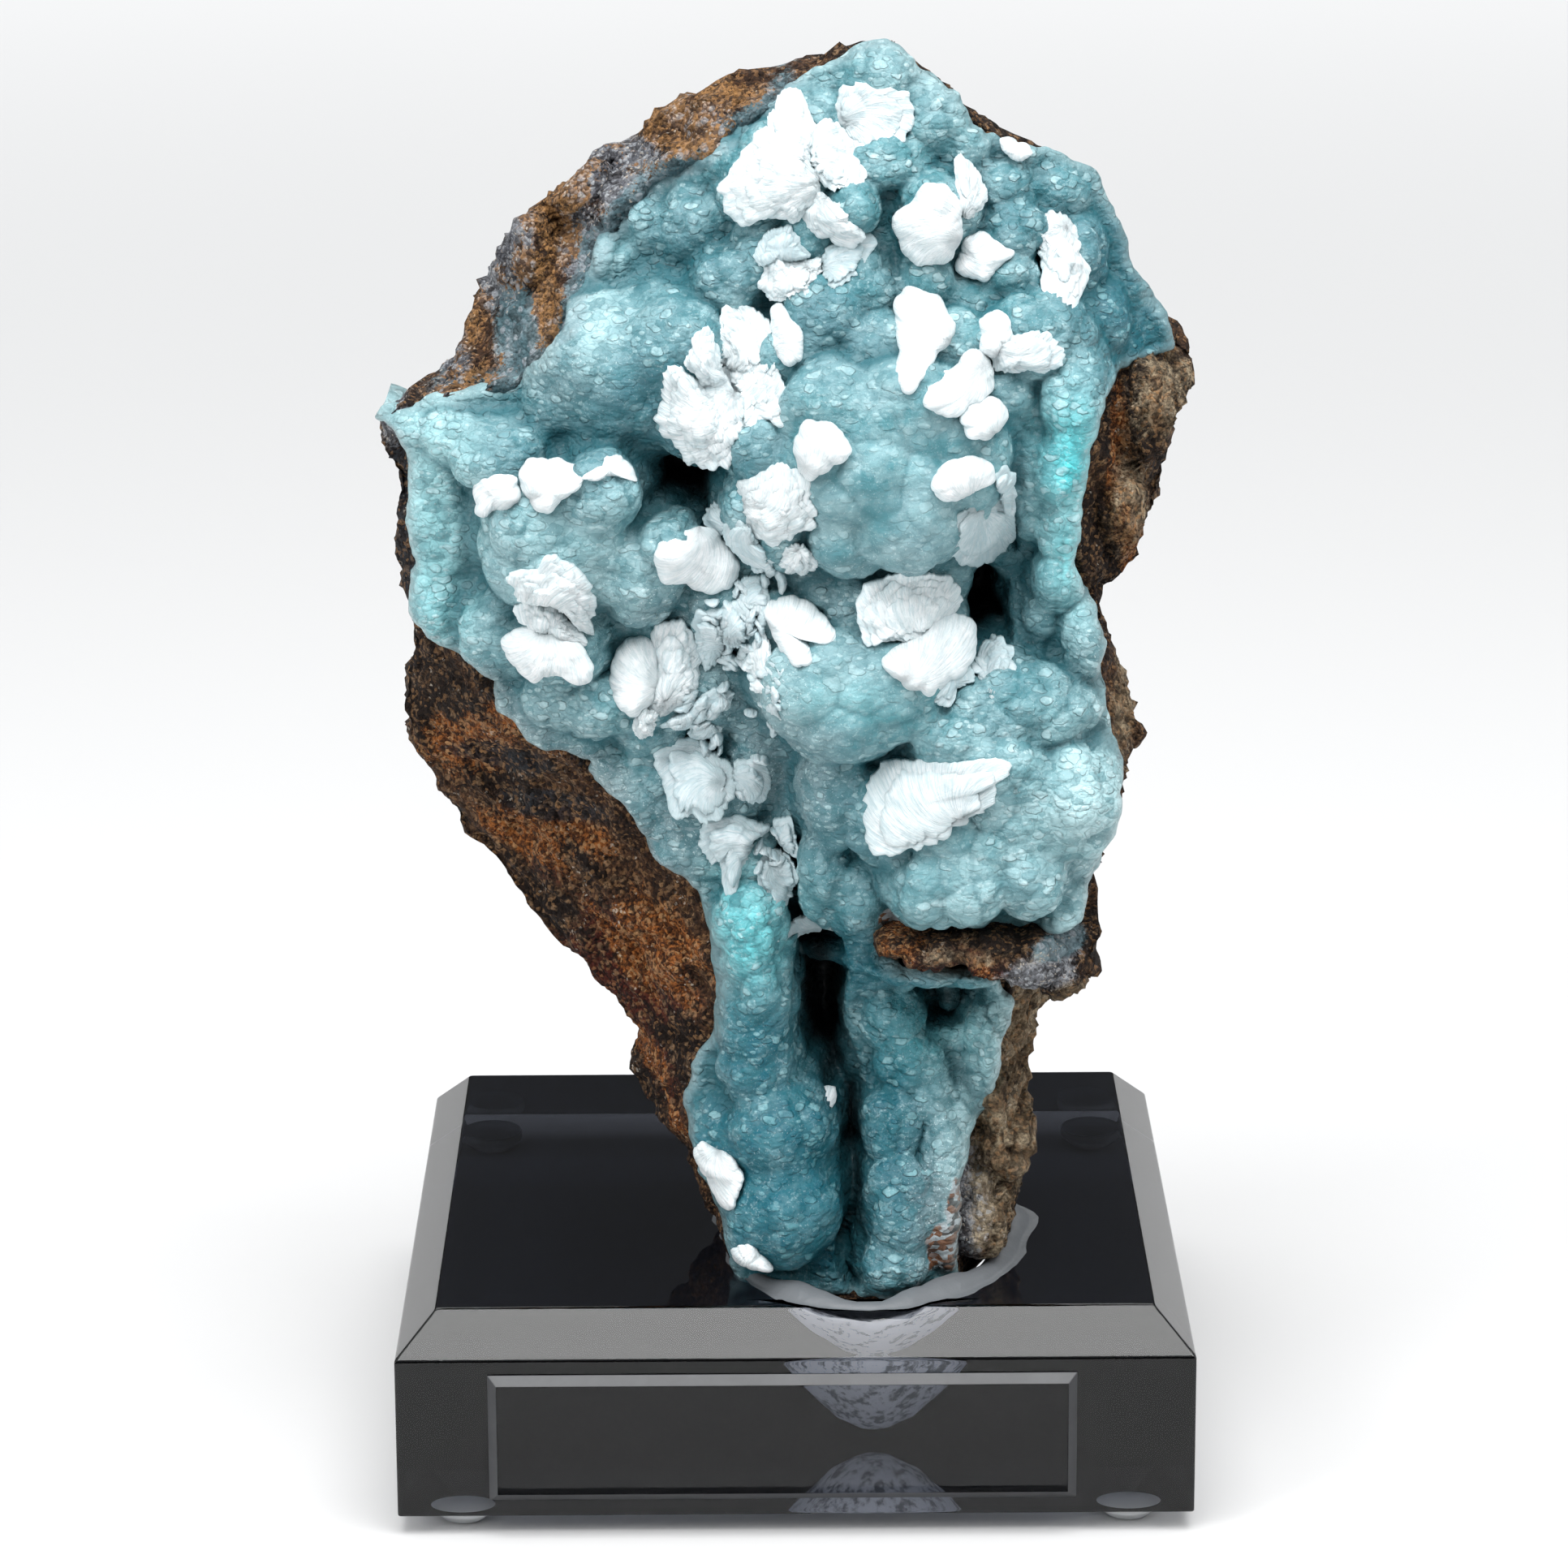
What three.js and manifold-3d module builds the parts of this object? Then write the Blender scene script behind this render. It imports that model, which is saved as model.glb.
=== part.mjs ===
// Smithsonite specimen: a blue-green botryoidal crust with white calcite fans on brown
// gossan rock, its foot set in a bevelled clear block with a bare label plate.
// Millimetres, +Z up. The origin is on the surface under the middle of the whole piece.
// X runs to the right as seen from the label side, Y runs away from the label.

import * as THREE from 'three';
import { mergeVertices } from 'three/addons/utils/BufferGeometryUtils.js';
import Module from 'manifold-3d';

const wasm = await Module();
wasm.setup();

// Block, label plate and feet
const blockSize = 127;
const blockSideHeight = 26.5;
const blockBevel = 6.5;
const footHeight = 3.2;
const footRadius = 5.3;
const footTreadRadius = 3.4;
const footSides = 12;
const footInsetX = 10.2;
const footInsetY = 7.9;
const plateWidth = 93.4;
const plateHeight = 21.2;
const plateThickness = 1.6;
const plateBevel = 1.4;
const plateCentreX = -2.1;
const plateCentreZ = 16.8;
const glueGap = 0.1;

// Gaps and sheets of the specimen
const clearance = 0.35;
const crustRim = 3;
const leastCrust = 2.5;
const crustCell = 3.6;
const blendWidth = 2.4;
const levelReach = 8;
const backingCell = 11;
const rockColumns = 13;
const rockBackColumns = 7;
const rockRowStep = 7.2;

const plateStandOff = plateThickness + glueGap;
const frontFaceY = -(blockSize - plateStandOff) / 2;
const blockCentreY = frontFaceY + blockSize / 2;
const blockTop = footHeight + blockSideHeight + blockBevel;
const farFront = -90;
const farBack = 110;

// Places on the specimen are given as x, height z and depth, where depth is measured
// straight back from the front face of the block.
const atDepth = (x, depth, z) => new THREE.Vector3(x, frontFaceY + depth, z);

const mix = (a, b, t) => a + (b - a) * t;
const clamp01 = (t) => Math.min(1, Math.max(0, t));
const smooth = (t) => t * t * (3 - 2 * t);

// Piecewise linear reading of column k of a table whose first column is the height
function readTable(table, z, k) {
  if (z <= table[0][0]) return table[0][k];
  for (let i = 1; i < table.length; i += 1) {
    const [low, high] = [table[i - 1], table[i]];
    if (z <= high[0]) return mix(low[k], high[k], (z - low[0]) / (high[0] - low[0]));
  }
  return table[table.length - 1][k];
}

// Left and right limits of the blue-green crust: height, left x, right x
const crustOutline = [
  [33, -9, 26], [46, -12, 26.5], [51, -15, 27], [57, -17.5, 28], [65, -19.5, 31],
  [70, -20.5, 33], [73, -13, 34], [80, -12.5, 35], [82, -12.5, 29], [85, -12.7, 18],
  [86.5, -13, 14], [93.5, -13.5, 14], [95.5, -14, 40], [97, -14.5, 45.5], [98, -15, 46],
  [104, -22, 47.5], [110, -26, 50], [116, -31, 51.5], [122, -39, 52], [126, -43.5, 50.5],
  [132, -50, 49], [138, -57, 49], [142, -60.5, 49], [153, -60.5, 45], [162, -60.5, 45.5],
  [168, -60.5, 46.3], [173, -62, 47], [175.5, -65, 47.5], [177, -64, 48], [178.5, -50, 49],
  [180, -42, 50], [182, -41.5, 61], [186, -38, 60.5], [190, -35, 58], [196, -32, 54.5],
  [201, -30, 51], [206, -27, 48], [210, -22.5, 46.5], [213, -17, 42], [215, -13, 34],
  [219, -8.5, 29], [224, -1.5, 26.5], [229, 6, 20], [232, 11.5, 17],
];

// Left and right limits of the brown rock with the depth of its edges:
// height, left x, right x, left edge depth, right edge depth
const rockOutline = [
  [33, -10, 34, 40, 40], [40, -12.5, 35.5, 42, 40], [47, -16.5, 37, 44, 40],
  [52, -18.5, 38.5, 46, 40], [56, -23.5, 39, 48, 40], [61, -26.5, 38, 50, 40],
  [67, -25.5, 38.5, 50, 40], [70, -27, 39.5, 51, 41], [74, -30.5, 41, 52, 42],
  [78, -36, 44, 54, 42], [82, -38.5, 45.5, 55, 42], [88, -43.5, 47.5, 56, 42],
  [94, -47.5, 48.5, 57, 42], [99, -52.5, 48.5, 58, 42], [105, -56, 50, 58, 42],
  [113, -60, 50, 58, 42], [117, -62.5, 53, 57, 44], [121, -63, 56, 56, 46],
  [124, -63, 55, 56, 46], [129, -62, 53.5, 54, 45], [134, -61.5, 52, 52, 44],
  [139, -61, 50, 51, 42], [144, -62.3, 48.7, 50, 42], [149, -63.5, 55.5, 49, 46],
  [157, -62.5, 59, 47, 49], [165, -63.5, 60.5, 46, 51], [171, -64.5, 61.5, 45, 52],
  [174, -63.5, 63.5, 46, 54], [177, -57, 64.5, 50, 56], [180, -53.5, 64.5, 54, 58],
  [183, -52, 63, 55, 60], [189, -49, 58, 57, 62], [197, -45.5, 53, 58, 62],
  [202, -41.5, 49, 59, 62], [206, -36.5, 47, 59, 62], [211, -28.5, 44.5, 59, 61],
  [215, -22, 33.5, 59, 60], [220, -17, 28, 58, 59], [224, -8, 25.5, 57, 58],
  [228, 0, 20.5, 57, 57], [231, 8.5, 17, 57, 57],
];

// Furthest depth of the rock's rounded back by height
const rockBack = [
  [33, 74], [60, 78], [90, 82], [120, 85], [165, 84], [195, 80], [215, 74], [231, 66],
];

// Rounded lumps of the crust, each an ellipsoid seen from the label side:
// centre x, centre z, half width, half height, depth of its tip, bulge
const crownLumps = [
  [15, 225, 7.5, 7, 44, 8], [23, 219, 7.5, 8, 42, 9], [16, 212, 7.5, 6, 38, 8],
  [28, 214, 4.5, 5.5, 42, 6], [34, 208, 6, 6, 41, 7], [42, 206, 6, 6, 45, 8],
  [35, 202, 5.5, 5, 36, 6], [34, 196, 5, 4, 33, 6], [10, 207, 4, 4, 31, 5],
  [54, 191, 5.5, 11, 48, 8], [51, 200, 4, 5.5, 50, 6], [-1, 210, 10.5, 10, 36, 9],
  [-10, 212, 5.5, 5.5, 43, 6], [5, 218, 7, 6.5, 43, 8], [3, 202, 5.5, 5.5, 34, 6],
  [23, 205, 7.5, 7.5, 33, 9], [45, 197, 5.5, 7, 39, 7], [60, 185, 4, 5.5, 48, 6],
  [49, 187, 5, 6.5, 38, 7],
];
const leftLumps = [
  [-14, 202, 8, 7.5, 41, 9], [-22, 202, 6, 6, 45, 7], [-29, 187, 5.5, 7.5, 37, 8],
  [-29, 196, 5.5, 6, 43, 6], [-26, 180, 16.5, 14, 25, 16], [-35, 184, 7, 8, 31, 9],
  [-18, 186, 9, 8, 23, 10], [-13, 175, 9, 8, 24, 10], [-9, 195, 7, 6.5, 32, 8],
  [-4, 200, 5.5, 6, 34, 7], [5, 190, 7.5, 8, 26, 9], [0, 184, 6.5, 6.5, 24, 8],
  [-29, 204, 6, 4.5, 47, 6], [-36, 193, 4, 6.5, 43, 6], [-36, 175, 7, 6.5, 31, 8],
  [-43, 178, 4, 5.5, 39, 6],
];
const middleLumps = [
  [11, 195, 6.5, 6, 30, 7], [21, 195, 5.5, 5.5, 31, 7], [28, 192, 5.5, 5, 32, 6],
  [14, 186, 8, 6, 25, 8], [38, 187, 9.5, 7.5, 24, 9], [44, 180, 6, 7.5, 24, 8],
  [33, 178, 6.5, 8, 23, 8], [26, 186, 7.5, 6.5, 24, 8],
];
const centreLumps = [
  [15, 169, 19.5, 17, 9, 20], [7, 178, 9.5, 8, 14, 10], [18, 179, 10, 8, 12, 11],
  [27, 171, 7.5, 9.5, 13, 9], [9, 167, 8, 8, 9, 9], [18, 162, 9.5, 9, 8, 10],
  [9, 158, 7, 6, 11, 8], [11, 147, 9, 6, 16, 8], [-6, 162, 5.5, 6.5, 18, 8],
  [-5, 171, 5.5, 6.5, 18, 8], [-2, 159, 6.5, 7, 16, 9],
];
const shaftLumps = [
  [8, 134, 12.5, 11.5, 6, 13], [1, 135, 6.5, 8, 8, 8], [17, 135, 7.5, 8.5, 8, 9],
  [7, 118, 6.5, 10.5, 13, 9], [5, 104, 4.5, 9.5, 17, 7], [11, 99, 5.5, 7.5, 16, 7],
  [-11, 146, 7.5, 6.5, 22, 8], [-3, 144, 6.5, 6, 17, 8], [-12, 131, 7.5, 8, 25, 8],
  [-5, 121, 6, 7.5, 25, 7], [-12, 114, 8, 6.5, 24, 7], [-7, 104, 6.5, 7, 24, 7],
];
const rightLumps = [
  [30, 113, 21, 17.5, 7, 18], [44, 117, 8.5, 9.5, 6, 10], [35, 130, 13.5, 7.5, 12, 9],
  [26, 127, 8, 6, 9, 8], [21, 104, 7, 7, 6, 8], [28, 104, 5.5, 6.5, 5, 7],
  [37, 105, 6.5, 6.5, 6, 8], [43, 98, 4.5, 6.5, 12, 6], [14, 114, 6, 8, 11, 8],
  [33, 122, 8, 6.5, 6, 8], [51, 129, 4, 6, 20, 7], [51, 104, 3, 5.5, 20, 6],
];
const wallLumps = [
  [44, 174, 4, 10, 20, 8], [43, 159, 4, 10, 22, 8], [42, 150, 4, 5.5, 22, 6],
  [40, 143, 4, 5, 26, 6], [36, 147, 4, 9.5, 36, 8], [46, 140, 4, 6.5, 20, 6],
];
const wingLumps = [
  [-55, 159, 7.5, 16, 34, 8], [-56, 143, 6, 9.5, 34, 8], [-36, 156, 14, 13.5, 18, 13],
  [-30, 165, 7, 6.5, 16, 8], [-19, 157, 4.5, 3.5, 17, 5], [-45, 169, 9, 6, 25, 8],
  [-24, 151, 8, 8, 19, 8], [-30, 129, 6, 5.5, 22, 7], [-37, 130, 6, 5.5, 25, 7],
  [-46, 140, 7.5, 8.5, 27, 8], [-36, 140, 8, 8, 21, 8], [-23, 128, 7.5, 8, 24, 8],
  [-24, 115, 8, 9.5, 27, 7], [-15, 106, 8, 9.5, 26, 7], [-60, 171, 4.5, 4.5, 36, 6],
  [-52, 171, 6.5, 4.5, 31, 7],
];
const columnLumps = [
  [-7, 94, 6, 7.5, 17, 8], [-6, 82, 6, 7.5, 17, 8], [-6, 70, 6.5, 8, 17, 8],
  [-2, 60, 10, 9.5, 13, 11], [-2, 48, 10, 10.5, 10, 11], [-10, 58, 6.5, 8.5, 19, 8],
  [-7, 44, 4.5, 5.5, 13, 6], [-17, 65, 4.5, 8, 27, 6], [16, 77, 5.5, 5.5, 22, 7],
  [19, 70, 6, 6, 21, 7], [22, 64, 4, 4.5, 20, 5], [11, 69, 4, 7, 31, 6],
  [16, 60, 5, 7, 17, 7], [17, 47, 6, 11, 12, 8], [16, 39, 6, 5, 11, 6],
  [31, 73, 3.5, 8.5, 22, 5], [24, 50, 4.5, 13.5, 15, 6], [26, 58, 4, 8.5, 20, 6],
  [22, 87, 8, 2, 19, 4],
];
const crustLumps = [
  ...crownLumps, ...leftLumps, ...middleLumps, ...centreLumps, ...shaftLumps,
  ...rightLumps, ...wallLumps, ...wingLumps, ...columnLumps,
];

// Dark openings between the lumps: centre x, centre z, half width, half height, depth
const openings = [
  [-18.5, 162, 9, 9, 50], [5, 70, 4, 21.5, 46], [9.5, 45, 2.5, 11, 38],
  [31, 142.5, 3.5, 8.5, 48], [25.5, 77.5, 5.5, 8, 48], [36, 162, 1.5, 11, 40],
  [0, 100, 3, 8, 40], [5.5, 85.5, 4, 7.5, 44],
];

// Lumps of bare rock: the brown ledge under the right mass, the sandy knobs beside
// the foot, the brown knob and band on the right, the sugary patches at the upper left
const rockLumps = [
  [17, 95, 5, 3, 13, 5], [23, 93, 6, 3.5, 11, 6], [31, 90.5, 6, 4, 11, 6],
  [38, 88.5, 6, 4.5, 12, 6], [44, 91, 5, 5, 16, 6], [34, 55, 5, 6, 24, 6],
  [32, 64, 4, 5, 25, 5], [30, 44, 5, 7, 20, 6], [54, 123, 3, 4, 37, 5],
  [56, 172, 5, 8, 33, 7], [52, 158, 5, 8, 32, 7], [-40, 197, 4, 6, 49, 5],
  [-33, 206, 5, 5, 50, 5], [-50, 178, 4, 4, 43, 5], [-10, 217, 5, 5, 48, 5],
];

// Depth of an ellipsoid's front at x, z; past its rim it falls steeply away
function lumpDepth([cx, cz, halfWidth, halfHeight, tip, bulge], x, z) {
  const r = Math.hypot((x - cx) / halfWidth, (z - cz) / halfHeight);
  const fall = 4;
  if (r < 1) return tip + bulge * (1 - Math.sqrt(1 - r * r));
  return tip + bulge * (1 + (r - 1) * fall);
}

// The nearer of two depths, rounded where they meet
function nearer(a, b, width) {
  const h = clamp01(0.5 + (0.5 * (b - a)) / width);
  return mix(b, a, h) - width * h * (1 - h);
}

// General depth of the crust around x, z: the mean depth of the rims of nearby lumps
function crustLevel(x, z) {
  const restWeight = 1e-6;
  const restDepth = 35;
  const rimShare = 0.75;
  const behindRim = 1;
  let total = restDepth * restWeight;
  let weights = restWeight;
  for (const [cx, cz, halfWidth, halfHeight, tip, bulge] of crustLumps) {
    const squared = (x - cx) ** 2 + (z - cz) ** 2;
    const w = Math.exp(-squared / (2 * levelReach ** 2)) * Math.sqrt(halfWidth * halfHeight);
    total += w * (tip + rimShare * bulge + behindRim);
    weights += w;
  }
  return total / weights;
}

// Front of the crust: the general level, sunk at the openings, with all lumps on it
function crustDepth(x, z) {
  const mouth = 1.15;
  const wallSteepness = 1.6;
  let depth = crustLevel(x, z);
  for (const [cx, cz, halfWidth, halfHeight, bottom] of openings) {
    const r = Math.hypot((x - cx) / halfWidth, (z - cz) / halfHeight);
    const sunk = smooth(clamp01(wallSteepness * (mouth - r)));
    depth += Math.max(bottom - depth, 0) * sunk;
  }
  for (const lump of crustLumps) {
    depth = nearer(depth, lumpDepth(lump, x, z), blendWidth);
  }
  return depth;
}

// Uneven broken rock: slanting bands crossed by smaller waves, about 2 mm deep
function rockRoughness(x, z) {
  const bands = Math.sin(0.24 * x + 0.33 * z) + 0.6 * Math.sin(0.52 * x + 0.39 * z + 2);
  const lumps = Math.sin(0.61 * x - 0.23 * z + 1.3) * Math.sin(0.47 * z + 0.19 * x + 0.4);
  return 0.7 * bands + 0.9 * lumps;
}

// Front of the rock: level with the back of the crust's rim, falling away to its edges
function rockDepth(x, z) {
  const left = readTable(crustOutline, z, 1);
  const right = readTable(crustOutline, z, 2);
  const inner = Math.min(Math.max(x, left), right);
  let depth = crustLevel(inner, z) + crustRim;
  if (x < left) {
    const span = left - readTable(rockOutline, z, 1);
    depth = mix(depth, readTable(rockOutline, z, 3), clamp01((left - x) / span));
  }
  if (x > right) {
    const span = readTable(rockOutline, z, 2) - right;
    depth = mix(depth, readTable(rockOutline, z, 4), clamp01((x - right) / span));
  }
  depth += rockRoughness(x, z);
  for (const lump of rockLumps) {
    depth = nearer(depth, lumpDepth(lump, x, z), blendWidth);
  }
  return depth;
}

// A solid from a grid of near points and the matching grid of far points
function sheetSolid(near, far) {
  const rows = near.length;
  const columns = near[0].length;
  const positions = [];
  for (const grid of [near, far]) {
    for (const row of grid) {
      for (const p of row) positions.push(p.x, p.y, p.z);
    }
  }
  const front = (i, j) => i * columns + j;
  const back = (i, j) => rows * columns + i * columns + j;
  const faces = [];
  const quad = (a, b, c, d) => faces.push(a, b, c, a, c, d);
  for (let i = 0; i < rows - 1; i += 1) {
    for (let j = 0; j < columns - 1; j += 1) {
      quad(front(i, j), front(i, j + 1), front(i + 1, j + 1), front(i + 1, j));
      quad(back(i, j), back(i + 1, j), back(i + 1, j + 1), back(i, j + 1));
    }
    quad(front(i, 0), front(i + 1, 0), back(i + 1, 0), back(i, 0));
    const last = columns - 1;
    quad(front(i, last), back(i, last), back(i + 1, last), front(i + 1, last));
  }
  for (let j = 0; j < columns - 1; j += 1) {
    quad(front(0, j), back(0, j), back(0, j + 1), front(0, j + 1));
    const top = rows - 1;
    quad(front(top, j), front(top, j + 1), back(top, j + 1), back(top, j));
  }
  return indexed(positions, faces);
}

// A solid from closed rings of equal length, with its two ends fanned shut
function loftSolid(rings) {
  const count = rings[0].length;
  const positions = rings.flat().flatMap((p) => [p.x, p.y, p.z]);
  const faces = [];
  for (let i = 0; i < rings.length - 1; i += 1) {
    for (let j = 0; j < count; j += 1) {
      const next = (j + 1) % count;
      const [a, b] = [i * count + j, i * count + next];
      faces.push(a, b, b + count, a, b + count, a + count);
    }
  }
  const ends = [rings[0], rings[rings.length - 1]];
  ends.forEach((ring, end) => {
    const centre = new THREE.Vector3();
    ring.forEach((p) => centre.addScaledVector(p, 1 / count));
    const hub = positions.length / 3;
    positions.push(centre.x, centre.y, centre.z);
    const base = end === 0 ? 0 : (rings.length - 1) * count;
    for (let j = 0; j < count; j += 1) {
      const next = (j + 1) % count;
      if (end === 0) faces.push(hub, base + next, base + j);
      else faces.push(hub, base + j, base + next);
    }
  });
  return indexed(positions, faces);
}

function indexed(positions, faces) {
  const geometry = new THREE.BufferGeometry();
  geometry.setAttribute('position', new THREE.Float32BufferAttribute(positions, 3));
  geometry.setIndex(faces);
  return geometry;
}

function toSolid(geometry) {
  const bare = geometry.clone();
  bare.deleteAttribute('normal');
  bare.deleteAttribute('uv');
  const merged = mergeVertices(bare, 1e-4);
  return new wasm.Manifold(new wasm.Mesh({
    numProp: 3,
    vertProperties: new Float32Array(merged.attributes.position.array),
    triVerts: new Uint32Array(merged.index.array),
  }));
}

// The largest connected part of a solid, as a geometry
function toGeometry(solid) {
  const parts = solid.decompose();
  const largest = parts.reduce((a, b) => (a.volume() > b.volume() ? a : b));
  const mesh = largest.getMesh();
  const geometry = new THREE.BufferGeometry();
  geometry.setAttribute('position', new THREE.BufferAttribute(mesh.vertProperties, 3));
  geometry.setIndex(new THREE.BufferAttribute(mesh.triVerts, 1));
  return geometry;
}

// Points of a depth function over a square grid a little larger than the crust
function crustGrid(depthAt) {
  const [left, right, low, high] = [-67, 65, 31, 235];
  const rows = [];
  for (let z = low; z <= high; z += crustCell) {
    const row = [];
    for (let x = left; x <= right; x += crustCell) row.push(atDepth(x, depthAt(x, z), z));
    rows.push(row);
  }
  return rows;
}

// Everything in front of the surface where crust and rock meet. That surface is a coarse
// grid, each point a little behind the deepest crust around it.
function frontOfBacking(shift) {
  const samples = crustGrid(crustDepth).flat().filter((p) => (
    p.x > readTable(crustOutline, p.z, 1) - crustCell
    && p.x < readTable(crustOutline, p.z, 2) + crustCell
  ));
  const [left, right, low, high] = [-77, 77, 22, 242];
  const columns = Math.round((right - left) / backingCell) + 1;
  const rows = Math.round((high - low) / backingCell) + 1;
  const near = [];
  const far = [];
  for (let i = 0; i < rows; i += 1) {
    const z = low + i * backingCell;
    near.push([]);
    far.push([]);
    for (let j = 0; j < columns; j += 1) {
      const x = left + j * backingCell;
      const around = samples.filter((p) => (
        Math.abs(p.x - x) <= backingCell && Math.abs(p.z - z) <= backingCell
      ));
      const deepest = around.reduce((most, p) => Math.max(most, p.y), frontFaceY + crustRim);
      near[i].push(new THREE.Vector3(x, farFront, z));
      far[i].push(new THREE.Vector3(x, deepest + leastCrust + shift, z));
    }
  }
  return toSolid(sheetSolid(near, far));
}

// The crust's outline moved outwards by a distance, as a prism from front to back
function outlinePrism(distance) {
  const points = [
    ...crustOutline.map(([z, , right]) => new THREE.Vector2(right, z)),
    ...crustOutline.slice().reverse().map(([z, left]) => new THREE.Vector2(left, z)),
  ];
  const moved = points.map((p, i) => {
    const before = points[(i + points.length - 1) % points.length];
    const after = points[(i + 1) % points.length];
    const a = p.clone().sub(before).normalize();
    const b = after.clone().sub(p).normalize();
    const outwards = new THREE.Vector2(a.y + b.y, -(a.x + b.x)).normalize();
    const mitre = Math.max(0.5, outwards.x * a.y - outwards.y * a.x);
    return p.clone().addScaledVector(outwards, distance / mitre);
  });
  const prism = new THREE.ExtrudeGeometry(new THREE.Shape(moved), {
    depth: farBack - farFront,
    bevelEnabled: false,
  });
  prism.rotateX(Math.PI / 2);
  prism.translate(0, farBack, 0);
  return toSolid(prism);
}

// Carved seat in the block: height, centre x, centre depth, half width, half depth
const seatRings = [
  [6.2, 13, 46.8, 3, 3.5], [8.5, 13, 46.5, 6.5, 7.5], [13.5, 13, 46, 10, 12.5],
  [22, 12.8, 44.5, 14.5, 19], [31, 12.5, 42, 19.5, 28], [36.2, 12.3, 41, 23.8, 34],
  [39, 12.3, 41, 24.4, 35],
];
const seatSides = 24;

function seatSolid(inset) {
  const rings = seatRings.map(([z, cx, depth, halfWidth, halfDepth]) => {
    const ring = [];
    for (let k = 0; k < seatSides; k += 1) {
      const angle = (2 * Math.PI * k) / seatSides;
      const wave = 1 + 0.03 * Math.sin(3 * angle + 1) + 0.02 * Math.sin(7 * angle);
      ring.push(atDepth(
        cx + (halfWidth - inset) * wave * Math.cos(angle),
        depth + (halfDepth - inset) * wave * Math.sin(angle),
        z + inset,
      ));
    }
    return ring;
  });
  return toSolid(loftSolid(rings));
}

// Whatever stands lower than the block's top keeps inside the seat
function outsideSeat() {
  const height = 60;
  const around = new THREE.BoxGeometry(220, 220, height);
  around.translate(0, 0, blockTop + clearance - height / 2);
  return toSolid(around).subtract(seatSolid(2 * clearance));
}

// Rock rows: cosine spaced front points from left to right, then back points
function rockRing(z) {
  const left = readTable(rockOutline, z, 1);
  const right = readTable(rockOutline, z, 2);
  const [middle, half] = [(left + right) / 2, (right - left) / 2];
  const backFullness = 0.8;
  const backRoughness = 1.4;
  const ring = [];
  for (let j = 0; j <= rockColumns; j += 1) {
    const x = middle - half * Math.cos((Math.PI * j) / rockColumns);
    ring.push(atDepth(x, rockDepth(x, z), z));
  }
  for (let j = 1; j < rockBackColumns; j += 1) {
    const angle = (Math.PI * j) / rockBackColumns;
    const x = middle + half * Math.cos(angle);
    const edge = mix(rockDepth(right, z), rockDepth(left, z), j / rockBackColumns);
    const round = (readTable(rockBack, z, 1) - edge) * Math.sin(angle) ** backFullness;
    const around = x + round;
    const rough = backRoughness * rockRoughness(around, z) * Math.sin(angle);
    ring.push(atDepth(x, edge + round + rough, z));
  }
  return ring;
}

// The rock's root inside the seat follows the seat's rings
function rootRing([z, cx, depth, halfWidth, halfDepth]) {
  const shrink = 1.5;
  const ring = [];
  for (let j = 0; j <= rockColumns; j += 1) {
    const angle = (Math.PI * j) / rockColumns;
    ring.push(atDepth(
      cx - (halfWidth - shrink) * Math.cos(angle),
      depth - (halfDepth - shrink) * Math.sin(angle),
      z + shrink,
    ));
  }
  for (let j = 1; j < rockBackColumns; j += 1) {
    const angle = (Math.PI * j) / rockBackColumns;
    ring.push(atDepth(
      cx + (halfWidth - shrink) * Math.cos(angle),
      depth + (halfDepth - shrink) * Math.sin(angle),
      z + shrink,
    ));
  }
  return ring;
}

function wholeRock() {
  const rings = seatRings.slice(0, 5).map(rootRing);
  const [low, high] = [blockTop, rockOutline[rockOutline.length - 1][0]];
  const steps = Math.round((high - low) / rockRowStep);
  for (let i = 0; i <= steps; i += 1) rings.push(rockRing(mix(low, high, i / steps)));
  return toSolid(loftSolid(rings));
}

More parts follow.
